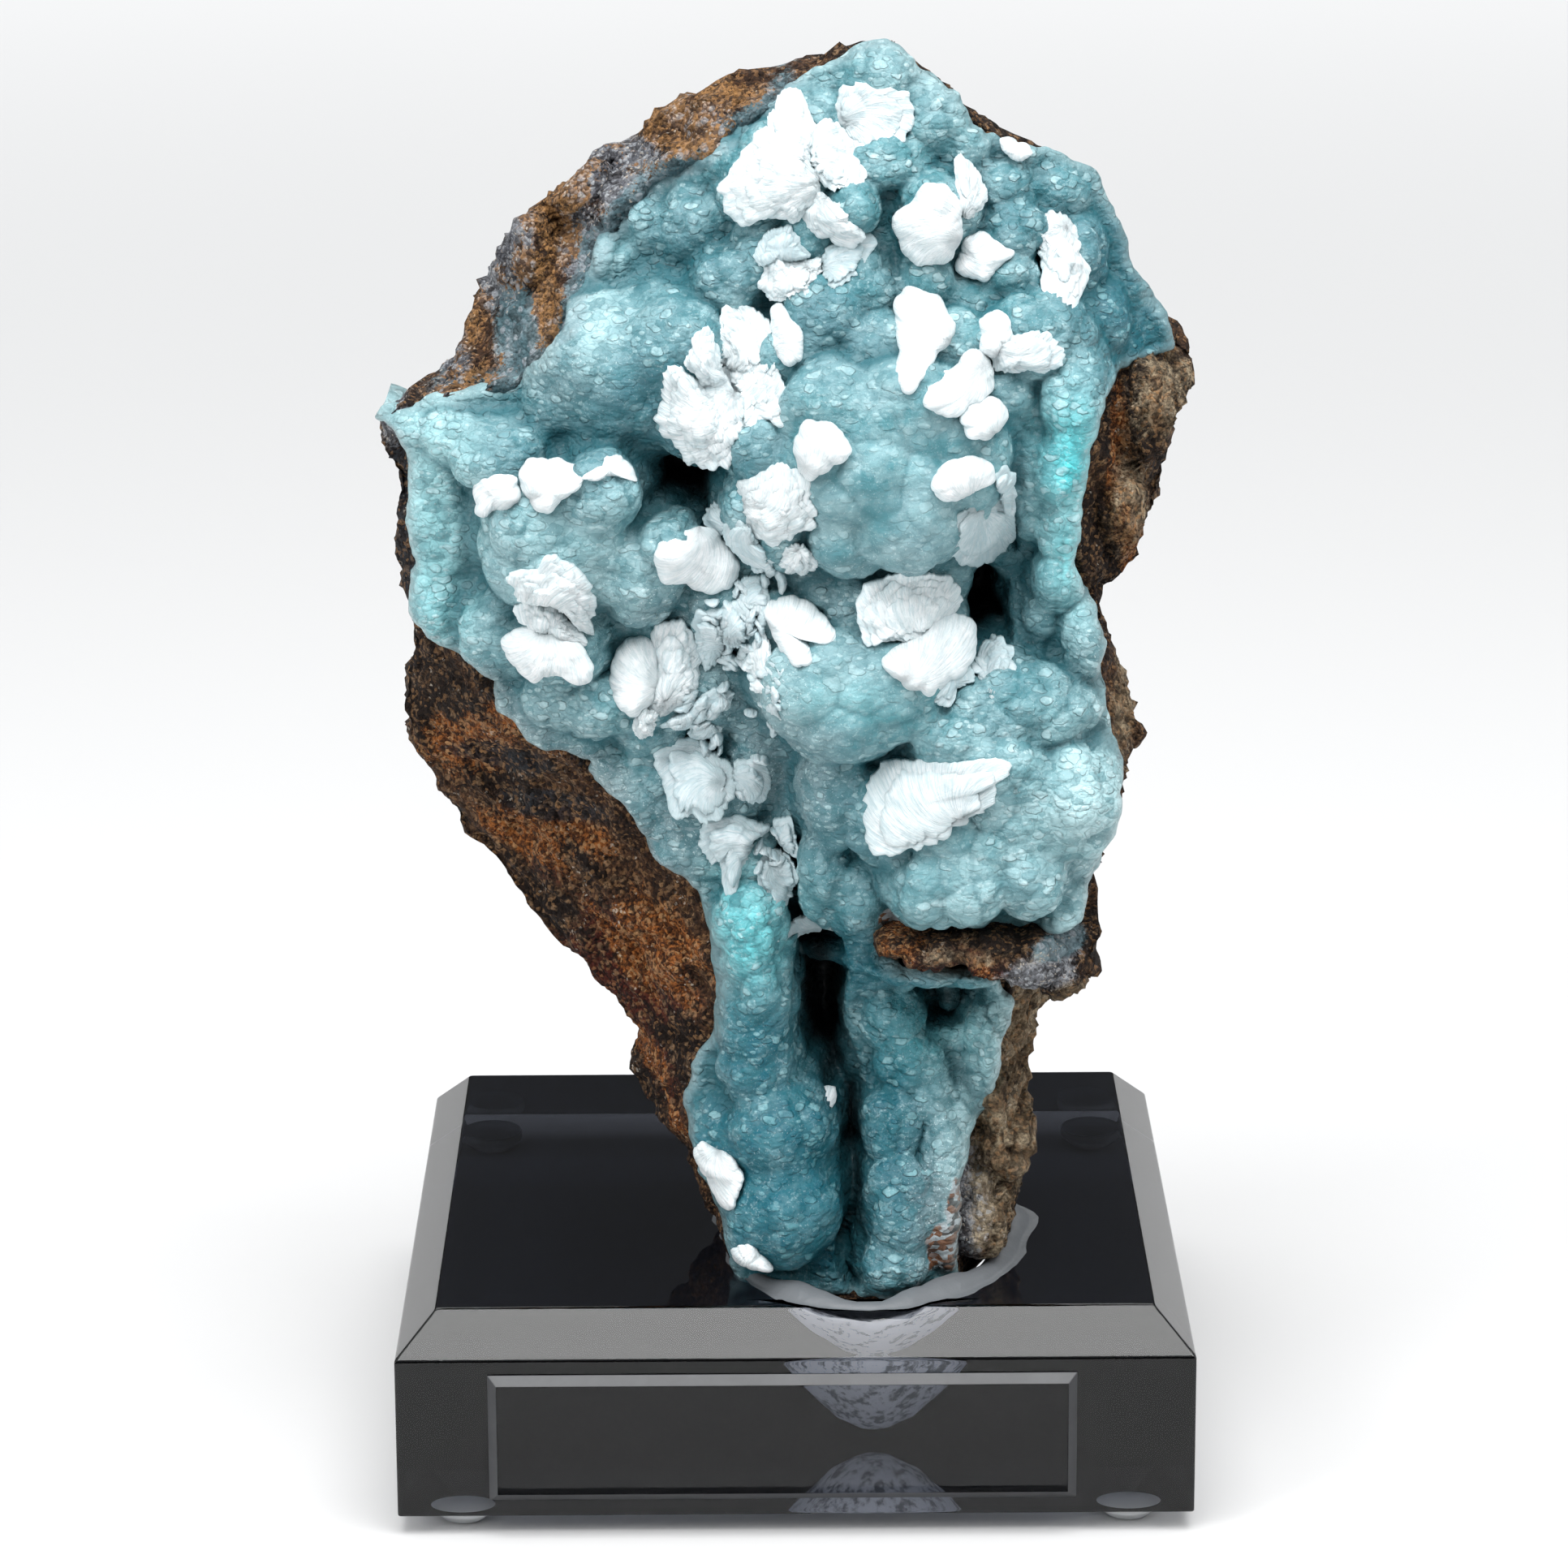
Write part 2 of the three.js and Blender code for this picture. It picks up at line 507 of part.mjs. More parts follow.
// Calcite clusters, each a few joined fans: centre x, centre z, half width, half height
const calciteClusters = {
  calcite_crown_spray: [[14, 220.5, 6.5, 6]],
  calcite_crest_fan: [[-1.5, 217.5, 5, 6.5], [-1, 210.5, 9, 7.5], [6.5, 212, 6, 7]],
  calcite_small_fan: [[-0.5, 197, 5, 4.5], [6.5, 199, 4.5, 4.5]],
  calcite_upper_spray: [[22, 204.5, 6, 6], [26.5, 209.5, 3.5, 4.5], [29.5, 200, 5, 4]],
  calcite_right_edge_fan: [[42.5, 200, 4.5, 6]],
  calcite_upper_ball: [[20.5, 189.5, 5, 6]],
  calcite_upper_pair: [[27, 183, 5, 4], [34, 187.5, 6, 5]],
  calcite_oval_ball: [[29.5, 177, 4, 3]],
  calcite_twin_fans: [[-15.5, 177, 6.5, 8], [-10, 183.5, 5, 6], [-3, 187, 6, 7.5]],
  calcite_centre_fan: [[5, 174.5, 4.5, 4.5], [-1, 166.5, 6, 6], [-4, 160, 6.5, 5.5]],
  calcite_centre_ball: [[1.5, 154, 3, 2.5]],
  calcite_right_fan: [[27, 169, 5.5, 4], [30.5, 161.5, 5.5, 7]],
  calcite_wing_strip: [[-46, 164, 5, 3], [-38, 167, 6, 3]],
  calcite_wing_drop: [[-28, 170, 4, 2]],
  calcite_wing_fan: [[-37, 152.5, 6.5, 4.5], [-36, 144.5, 5.5, 5.5], [-38, 139, 8, 4.5]],
  calcite_wing_ball: [[-15, 153.5, 7, 5.5]],
  calcite_shaft_ball: [[-21, 137.5, 7, 7], [-21, 129.5, 5.5, 5]],
  calcite_grey_blades: [[-9.5, 145.5, 4.5, 5.5], [-8.5, 135, 5, 6.5], [-9.5, 125.5, 5, 3]],
  calcite_heart: [[1.5, 144.5, 6, 3.5]],
  calcite_heart_blades: [[-4.5, 137, 3, 5]],
  calcite_big_fan: [[16.5, 148.5, 6.5, 5.5], [21, 143.5, 6.5, 6], [24, 138.5, 5, 6]],
  calcite_grey_tuft: [[32, 137, 3, 4]],
  calcite_shaft_fans: [[-16, 118.5, 5.5, 5], [-7.5, 117.5, 5, 4.5]],
  calcite_lower_fan: [[-10.5, 108.5, 4.5, 3.5], [-5.5, 103.5, 5.5, 5.5]],
  calcite_right_spray: [[17, 117, 6, 7], [25, 121, 8, 4.5]],
  calcite_foot_ball: [[-12, 53.5, 3.5, 5]],
  calcite_foot_drop: [[-6, 42, 4.5, 2.5]],
  calcite_speck: [[5, 66.5, 1.5, 1.2]],
  calcite_rim_ball: [[35, 213, 3.5, 2]],
};
const fanSides = 8;
const fanRings = 3;

// One fan: a flattened ball with a scalloped edge, centred on the crust's surface
function fanSolid([cx, cz, halfWidth, halfHeight], index) {
  const leastStandOff = 1;
  const standOff = 0.5 * Math.sqrt(halfWidth * halfHeight) + leastStandOff;
  const scallop = 0.1;
  const depth = crustDepth(cx, cz);
  const rings = [];
  for (let i = 0; i < fanRings; i += 1) {
    const polar = Math.PI * ((i + 0.35) / (fanRings - 0.3));
    const ring = [];
    for (let k = 0; k < fanSides; k += 1) {
      const angle = (2 * Math.PI * k) / fanSides;
      const edge = Math.sin(polar) * (1 + scallop * Math.sin(4 * angle + 2.4 * index));
      ring.push(atDepth(
        cx + halfWidth * edge * Math.cos(angle),
        depth + standOff * Math.cos(polar),
        cz + halfHeight * edge * Math.sin(angle),
      ));
    }
    rings.push(ring);
  }
  return toSolid(loftSolid(rings));
}

// A bevelled slab from three square rings
function blockSolid() {
  const levels = [
    [footHeight, 0], [footHeight + blockSideHeight, 0], [blockTop, blockBevel],
  ];
  const rings = levels.map(([z, inset]) => {
    const half = blockSize / 2 - inset;
    return [[-1, -1], [1, -1], [1, 1], [-1, 1]].map(([sx, sy]) => (
      new THREE.Vector3(sx * half, blockCentreY + sy * half, z)
    ));
  });
  return toSolid(loftSolid(rings));
}

// Label plate: a thin sheet with its front edges bevelled
function plateGeometry() {
  const flatEdge = plateThickness - plateBevel;
  const layers = [[0, 0], [flatEdge, 0], [plateThickness, plateBevel]];
  const rings = layers.map(([out, inset]) => {
    const [halfX, halfZ] = [plateWidth / 2 - inset, plateHeight / 2 - inset];
    return [[-1, -1], [1, -1], [1, 1], [-1, 1]].map(([sx, sz]) => (
      new THREE.Vector3(sx * halfX, -out, sz * halfZ)
    ));
  });
  return loftSolid(rings);
}

// Domed bumper foot standing on its small flat tread
function footGeometry() {
  const height = footHeight - glueGap;
  const profile = [
    [0, 0], [footTreadRadius, 0], [footRadius * 0.88, height * 0.3],
    [footRadius, height * 0.75], [footRadius, height], [0, height],
  ];
  const points = profile.map(([r, z]) => new THREE.Vector2(r, z));
  const geometry = new THREE.LatheGeometry(points, footSides);
  geometry.rotateX(Math.PI / 2);
  return geometry;
}

const group = new THREE.Group();

function addPiece(name, geometry, color, roughness, place) {
  const material = new THREE.MeshStandardMaterial({ color, roughness, metalness: 0 });
  const mesh = new THREE.Mesh(geometry, material);
  mesh.name = name;
  if (place) mesh.position.copy(place);
  group.add(mesh);
}

const acrylicColor = 0x2b2c2f;
const rockColor = 0x6b4226;
const crustColor = 0x6fa3a8;
const calciteColor = 0xf2f5f5;

const keepOut = outsideSeat();
const behindCrustFront = toSolid(sheetSolid(
  crustGrid(crustDepth),
  crustGrid(() => farBack - frontFaceY),
));
const rock = wholeRock();
const crust = behindCrustFront
  .intersect(frontOfBacking(0))
  .intersect(outlinePrism(0))
  .subtract(keepOut);
const cutForCrust = frontOfBacking(clearance).intersect(outlinePrism(clearance));
const matrix = rock.subtract(cutForCrust).subtract(keepOut);

addPiece('acrylic_base', toGeometry(blockSolid().subtract(seatSolid(0))), acrylicColor, 0.05);
addPiece('label_plate', plateGeometry(), acrylicColor, 0.08,
  new THREE.Vector3(plateCentreX, frontFaceY - glueGap, plateCentreZ));
const feet = [['front', 'left'], ['front', 'right'], ['back', 'left'], ['back', 'right']];
for (const [end, side] of feet) {
  const x = (blockSize / 2 - footInsetX) * (side === 'left' ? -1 : 1);
  const y = blockCentreY + (blockSize / 2 - footInsetY) * (end === 'front' ? -1 : 1);
  addPiece(`foot_${end}_${side}`, footGeometry(), 0xd8dcde, 0.15, new THREE.Vector3(x, y, 0));
}
addPiece('gossan_matrix', toGeometry(matrix), rockColor, 0.9);
addPiece('smithsonite_crust', toGeometry(crust), crustColor, 0.45);

// Clusters are cut along the crust and rock, moved forwards by the clearance
const behindClusters = behindCrustFront.translate([0, -clearance, 0])
  .add(rock.translate([0, -clearance, 0]))
  .add(keepOut);
for (const [name, fans] of Object.entries(calciteClusters)) {
  const whole = fans.map(fanSolid).reduce((a, b) => a.add(b));
  addPiece(name, toGeometry(whole.subtract(behindClusters)), calciteColor, 0.6);
}

export default group;
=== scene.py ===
import itertools
import math
import bpy
import numpy as np
from mathutils import Matrix, Vector


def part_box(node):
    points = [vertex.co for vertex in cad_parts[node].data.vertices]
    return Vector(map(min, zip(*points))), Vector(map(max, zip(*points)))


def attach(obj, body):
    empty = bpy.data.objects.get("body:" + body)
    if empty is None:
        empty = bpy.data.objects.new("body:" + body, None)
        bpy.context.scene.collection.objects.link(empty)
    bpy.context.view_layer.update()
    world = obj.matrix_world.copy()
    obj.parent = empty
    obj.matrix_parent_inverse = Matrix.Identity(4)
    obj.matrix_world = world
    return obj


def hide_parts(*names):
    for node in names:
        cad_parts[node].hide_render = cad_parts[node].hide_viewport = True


# Smithsonite specimen: a blue-green botryoidal crust with white calcite fans on brown rock,
# its foot set in a bevelled block of acrylic. Shapes are worked out in millimetres, in the
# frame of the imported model, and put into meshes in metres.

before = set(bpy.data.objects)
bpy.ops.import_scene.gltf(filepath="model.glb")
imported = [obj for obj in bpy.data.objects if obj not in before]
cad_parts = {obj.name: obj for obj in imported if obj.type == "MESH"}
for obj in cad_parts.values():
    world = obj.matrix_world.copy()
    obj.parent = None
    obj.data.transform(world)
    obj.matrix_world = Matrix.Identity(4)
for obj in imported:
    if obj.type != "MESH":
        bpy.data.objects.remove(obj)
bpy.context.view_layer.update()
metre = 0.001

blockLow, blockHigh = [np.array(corner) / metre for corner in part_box("acrylic_base")]
plateLow, plateHigh = [np.array(corner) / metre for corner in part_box("label_plate")]
frontFace = blockLow[1]
blockTop = blockHigh[2]
print("frame loaded, block", blockLow.round(2), blockHigh.round(2))


# Camera, at the photograph's place: place, lens and sensor in mm, near and far in metres,
# turns in degrees, and the photograph's width in pixels

camera = {
    "place": (-3.96, -914.36, 369.82), "down": 16.0717, "turn": 0.1742, "roll": -0.2787,
    "lens": 132.5, "sensor": 36.0, "pixels": 1932, "near": 0.01, "far": 60,
}


def cameraAxes():
    # right, up and forward, turned about the upright axis, tilted down and rolled
    down, turn, roll = [math.radians(camera[k]) for k in ("down", "turn", "roll")]
    forward = Vector((math.sin(turn) * math.cos(down), math.cos(turn) * math.cos(down),
                      -math.sin(down)))
    level = Vector((math.cos(turn), -math.sin(turn), 0))
    upright = level.cross(forward)
    right = math.cos(roll) * level + math.sin(roll) * upright
    up = -math.sin(roll) * level + math.cos(roll) * upright
    return right, up, forward


def makeCamera():
    # a camera looks along its own -Z, with Y up
    right, up, forward = cameraAxes()
    data = bpy.data.cameras.new("camera")
    data.lens = camera["lens"]
    data.sensor_width = camera["sensor"]
    data.clip_start, data.clip_end = camera["near"], camera["far"]
    holder = bpy.data.objects.new("camera", data)
    holder.matrix_world = Matrix.Translation(Vector(camera["place"]) * metre) @ Matrix(
        (right, up, -forward)).transposed().to_4x4()
    bpy.context.scene.collection.objects.link(holder)
    bpy.context.scene.camera = holder


# Noise on points

def hashed(ix, iy, iz, seed):
    # whole numbers, mixed with large odd ones, to one number from 0 to 1, the same at every run
    h = (ix * 73856093) ^ (iy * 19349663) ^ (iz * 83492791) ^ (seed * 40503)
    h = (h ^ (h >> 13)) & 0x7fffffff
    h = (h * 60493 + 19990303) & 0x7fffffff
    h = (h ^ (h >> 15)) * 31337 & 0x7fffffff
    return ((h ^ (h >> 11)) & 0xfffff) / 0xfffff


def noise(points, size, seed):
    # value noise: the eight corners of the cell around a point, weighted by 3t^2 - 2t^3,
    # from -1 to 1
    p = points / size
    base = np.floor(p)
    t = p - base
    t = t * t * (3 - 2 * t)
    cell = base.astype(np.int64)
    total = np.zeros(points.shape[:-1])
    for corner in itertools.product((0, 1), repeat=3):
        weight = np.prod(np.where(corner, t, 1 - t), axis=-1)
        total += weight * hashed(*np.moveaxis(cell + corner, -1, 0), seed)
    return 2 * total - 1


def layered(points, size, octaves, seed):
    # noise of halving size and halving height
    return sum(noise(points, size / 2 ** k, seed + k) / 2 ** k for k in range(octaves))


def cells(points, size, seed):
    # distance to the nearest and to the second nearest of the seeds, one seed at a random
    # place in each cube, in cube sizes, and a random number that the nearest seed carries
    p = points / size
    cell = np.floor(p).astype(np.int64)
    first = np.full(p.shape[:-1], np.inf)
    second = first.copy()
    tag = np.zeros_like(first)
    for step in itertools.product((-1, 0, 1), repeat=3):
        near = np.moveaxis(cell + step, -1, 0)
        place = np.stack([near[k] + hashed(*near, seed + k) for k in range(3)], -1)
        d = np.linalg.norm(place - p, axis=-1)
        closer = d < first
        second = np.where(closer, first, np.minimum(second, d))
        tag = np.where(closer, hashed(*near, seed + 3), tag)
        first = np.where(closer, d, first)
    return first, second, tag


def domed(distance, reach, top=1):
    # top - (d / reach)^2, the height of a rounded cell at a distance from its seed
    return top - (distance / reach) ** 2


def smoothStep(low, high, value):
    # 3t^2 - 2t^3 of where value stands between low and high
    t = np.clip((value - low) / (high - low), 0, 1)
    return t * t * (3 - 2 * t)


# Meshes

def gridQuads(rows, columns, closed=False):
    # quads of a grid of points, row by row; closed joins the last column to the first
    i = np.arange(rows - 1)[:, None]
    j = np.arange(columns if closed else columns - 1)[None, :]
    k = (j + 1) % columns
    corners = [i * columns + j, i * columns + k, (i + 1) * columns + k, (i + 1) * columns + j]
    return np.stack(np.broadcast_arrays(*corners), -1).reshape(-1, 4)


def flippedOutwards(points, faceSets):
    # the sum of p0 . (p1 x p2) over the faces' triangles is six times the volume, and it is
    # negative where the faces look inwards
    volume = 0
    for faces in faceSets:
        p0 = points[faces[:, 0]]
        for k in range(1, faces.shape[1] - 1):
            p1, p2 = points[faces[:, k]], points[faces[:, k + 1]]
            volume += np.einsum("ij,ij->", p0, np.cross(p1, p2))
    return [faces[:, ::-1] if volume < 0 else faces for faces in faceSets]


def tubeFaces(grid):
    # points of a grid that closes across its columns, its quads and a face over each end
    rows, columns = grid.shape[:2]
    points = grid.reshape(-1, 3)
    ends = [np.arange(columns)[None, ::-1], (rows - 1) * columns + np.arange(columns)[None, :]]
    return points, flippedOutwards(points, [gridQuads(rows, columns, True), *ends])


def buildMesh(name, points, faceSets, attributes=None, slots=None):
    # one mesh object from points in mm and arrays of faces, with its attributes
    mesh = bpy.data.meshes.new(name)
    loops = np.concatenate([np.asarray(faces).ravel() for faces in faceSets])
    sizes = np.concatenate([np.full(len(faces), faces.shape[1]) for faces in faceSets])
    starts = np.concatenate([[0], np.cumsum(sizes)[:-1]])
    mesh.vertices.add(len(points))
    mesh.vertices.foreach_set("co", (points * metre).astype(np.float32).ravel())
    mesh.loops.add(len(loops))
    mesh.loops.foreach_set("vertex_index", loops.astype(np.int32))
    mesh.polygons.add(len(sizes))
    mesh.polygons.foreach_set("loop_start", starts.astype(np.int32))
    if slots is not None:
        mesh.polygons.foreach_set("material_index", slots.astype(np.int32))
    mesh.update(calc_edges=True)
    mesh.validate()
    mesh.shade_smooth()
    for label, values in (attributes or {}).items():
        kind, field = ("FLOAT_VECTOR", "vector") if values.ndim == 2 else ("FLOAT", "value")
        layer = mesh.attributes.new(label, kind, "POINT")
        layer.data.foreach_set(field, values.astype(np.float32).ravel())
    piece = bpy.data.objects.new(name, mesh)
    bpy.context.scene.collection.objects.link(piece)
    return piece


def placePiece(piece, nodes, slotName, *materials):
    # the piece's materials, its body and the nodes that it replaces; its slot name is not used
    for material in materials:
        piece.data.materials.append(material)
    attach(piece, "root")
    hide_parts(*nodes)
    triangles = sum(len(p.vertices) - 2 for p in piece.data.polygons)
    print("made", piece.name, triangles, "triangles")


# Shader maths

class Value:
    # a number from a shader socket, so that sums on it read as sums

    def __init__(self, finish, socket):
        self.finish = finish
        self.socket = socket

    def combined(self, operation, first, second):
        return self.finish.node("ShaderNodeMath", {"operation": operation}, {0: first, 1: second})

    def __add__(self, other):
        return self.combined("ADD", self, other)

    def __mul__(self, other):
        return self.combined("MULTIPLY", self, other)

    def __sub__(self, other):
        return self.combined("SUBTRACT", self, other)

    def __rsub__(self, other):
        return self.combined("SUBTRACT", other, self)

    def clamped(self):
        # kept between 0 and 1
        return self.finish.node("ShaderNodeClamp", {}, {"Value": self})

    def stepped(self, low, high):
        # 0 at low, 1 at high, smooth between; low may be the larger of the two
        return self.finish.node("ShaderNodeMapRange", {"interpolation_type": "SMOOTHSTEP"},
                                {"Value": self, "From Min": low, "From Max": high})


class Finish:
    # one material: a Principled shader, and the nodes that feed it

    def __init__(self, name, **constants):
        self.material = bpy.data.materials.new(name)
        self.material.use_nodes = True
        self.tree = self.material.node_tree
        self.shader = self.tree.nodes["Principled BSDF"]
        for socket, value in constants.items():
            self.shader.inputs[socket.replace("_", " ")].default_value = value

    def node(self, kind, settings, values, output=0):
        # one node with its settings; values go to its inputs as links or as constants
        made = self.tree.nodes.new(kind)
        for key, setting in settings.items():
            setattr(made, key, setting)
        for key, value in values.items():
            if isinstance(value, Value):
                self.tree.links.new(value.socket, made.inputs[key])
            else:
                made.inputs[key].default_value = value
        return Value(self, made.outputs[output])

    def place(self):
        # the point of the object that is being shaded, in metres
        return self.node("ShaderNodeTexCoord", {}, {}, "Object")

    def attribute(self, label, output="Fac"):
        # what the mesh carries under a label
        return self.node("ShaderNodeAttribute", {"attribute_name": label}, {}, output)

    def grain(self, place, size, detail=2.0, roughness=0.5, output="Fac"):
        # noise from 0 to 1 with lumps of about size mm
        return self.node("ShaderNodeTexNoise", {},
                         {"Vector": place, "Scale": 1 / (size * metre), "Detail": detail,
                          "Roughness": roughness}, output)

    def pebbles(self, place, size, feature="F1", output="Distance"):
        # distance to the middle or the edge of the nearest cell, with cells of about size mm
        return self.node("ShaderNodeTexVoronoi", {"feature": feature},
                         {"Vector": place, "Scale": 1 / (size * metre)}, output)

    def tag(self, place, size):
        # a random number from 0 to 1 for each of the pebbles
        return self.node("ShaderNodeSeparateColor", {},
                         {0: self.pebbles(place, size, output="Color")})

    def warped(self, place, size, reach):
        # the place, pushed about by noise, so that cells lose their straight sides
        return self.node("ShaderNodeVectorMath", {"operation": "MULTIPLY_ADD"},
                         {0: self.grain(place, size, output="Color"),
                          1: (reach * metre,) * 3, 2: place})

    def stretched(self, place, turn, scale):
        # the place, turned and scaled along each axis
        return self.node("ShaderNodeMapping", {},
                         {"Vector": place, "Rotation": turn, "Scale": scale})

    def mixed(self, share, first, second):
        # colours: first where share is 0, second where it is 1
        first, second = [c if isinstance(c, Value) else (*c, 1) for c in (first, second)]
        return self.node("ShaderNodeMix", {"data_type": "RGBA"},
                         {0: share, 6: first, 7: second}, 2)

    def overlaid(self, body, *layers):
        # colours laid over each other, each with the share of it that shows
        for share, color in layers:
            body = self.mixed(share, body, color)
        return body

    def bumped(self, height, depth, strength=1.0):
        # a height of about 1 stands depth mm tall
        return self.node("ShaderNodeBump", {},
                         {"Height": height, "Distance": depth * metre, "Strength": strength})

    def feed(self, **sockets):
        # links what varies to the shader, and hands over the finished material
        for socket, value in sockets.items():
            self.tree.links.new(value.socket, self.shader.inputs[socket.replace("_", " ")])
        return self.material

    def absorb(self, color, density):
        # what the inside takes from light on its way, per metre
        volume = self.tree.nodes.new("ShaderNodeVolumeAbsorption")
        volume.inputs["Color"].default_value = (*color, 1)
        volume.inputs["Density"].default_value = density
        output = self.tree.nodes["Material Output"]
        self.tree.links.new(volume.outputs[0], output.inputs["Volume"])


# Specimen: sizes that crust, rock and calcite share. Depth is measured straight back from
# the block's front face.

# left and right limits of the blue-green crust: height, left x, right x
crustOutline = np.array([
    [33, -9, 26], [46, -12, 26.5], [51, -15, 27], [57, -17, 28], [63, -17.5, 31], [69, -16.5, 33],
    [75, -13.5, 34.5], [80, -12.5, 35], [82, -12.5, 34], [85, -12.7, 33], [88, -13, 31],
    [89.3, -13.2, 14], [94.3, -13.5, 14], [95.5, -14, 40], [97, -14.5, 45.5], [98, -15, 46],
    [104, -22, 47.5], [110, -26, 50], [116, -31, 51.5], [122, -39, 52], [126, -43.5, 50.5],
    [132, -50, 49], [138, -57, 49], [142, -60.5, 49], [153, -60.5, 45], [162, -60.5, 45.5],
    [168, -60.5, 46.3], [171.5, -62.5, 47], [173.2, -66, 47.5], [175, -64.5, 48], [178, -50, 49],
    [180, -42, 50], [182, -41.5, 61], [186, -38, 60.5], [190, -35, 58], [196, -32, 54.5],
    [201, -30, 52.5], [206, -27, 50.5], [210, -22.5, 48.5], [213, -17, 44], [215, -13, 35.5],
    [219, -8.5, 29], [224, -1.5, 26.5], [229, 6, 20], [232, 11.5, 17],
])

# limits of the rock: height, left x, right x, left edge depth, right edge depth
rockOutline = np.array([
    [33, -10, 34, 40, 40], [40, -12.5, 35.5, 42, 40], [47, -16.5, 37, 44, 40], [52, -18.5, 38.5, 46, 40],
    [56, -23.5, 39, 48, 40], [61, -26.5, 38, 50, 40], [67, -25.5, 38.5, 50, 40], [70, -27, 39.5, 51, 41],
    [74, -30.5, 41, 52, 42], [78, -36, 44, 54, 42], [82, -38.5, 45.5, 55, 42], [88, -43.5, 47.5, 56, 42],
    [94, -47.5, 48.5, 57, 42], [99, -52.5, 48.5, 58, 42], [105, -56, 50, 58, 42], [113, -60, 50, 58, 42],
    [117, -62.5, 53, 57, 44], [121, -63, 56, 56, 46], [124, -63, 55, 56, 46], [129, -62, 53.5, 54, 45],
    [134, -61.5, 52, 52, 44], [139, -61, 50, 51, 42], [144, -62.3, 48.7, 50, 42],
    [149, -63.5, 55.5, 49, 46], [157, -62.5, 59, 47, 49], [165, -63.5, 60.5, 46, 51],
    [171, -64.5, 61.5, 45, 52], [174, -63.5, 63.5, 46, 54], [177, -57, 64.5, 50, 56],
    [180, -53.5, 64.5, 54, 58], [183, -52, 63, 55, 60], [189, -49, 58, 57, 62], [197, -45.5, 53, 58, 62],
    [202, -41.5, 49, 59, 62], [206, -36.5, 47, 59, 62], [211, -28.5, 44.5, 59, 61],
    [215, -22, 33.5, 59, 60], [220, -17, 28, 58, 59], [224, -8, 25.5, 57, 58], [228, 0, 20.5, 57, 57],
    [231, 8.5, 17, 57, 57],
])

# furthest depth of the rock's rounded back by height
rockBack = np.array([
    [33, 74], [60, 78], [90, 82], [120, 85], [165, 84], [195, 80], [215, 74], [231, 66],
])

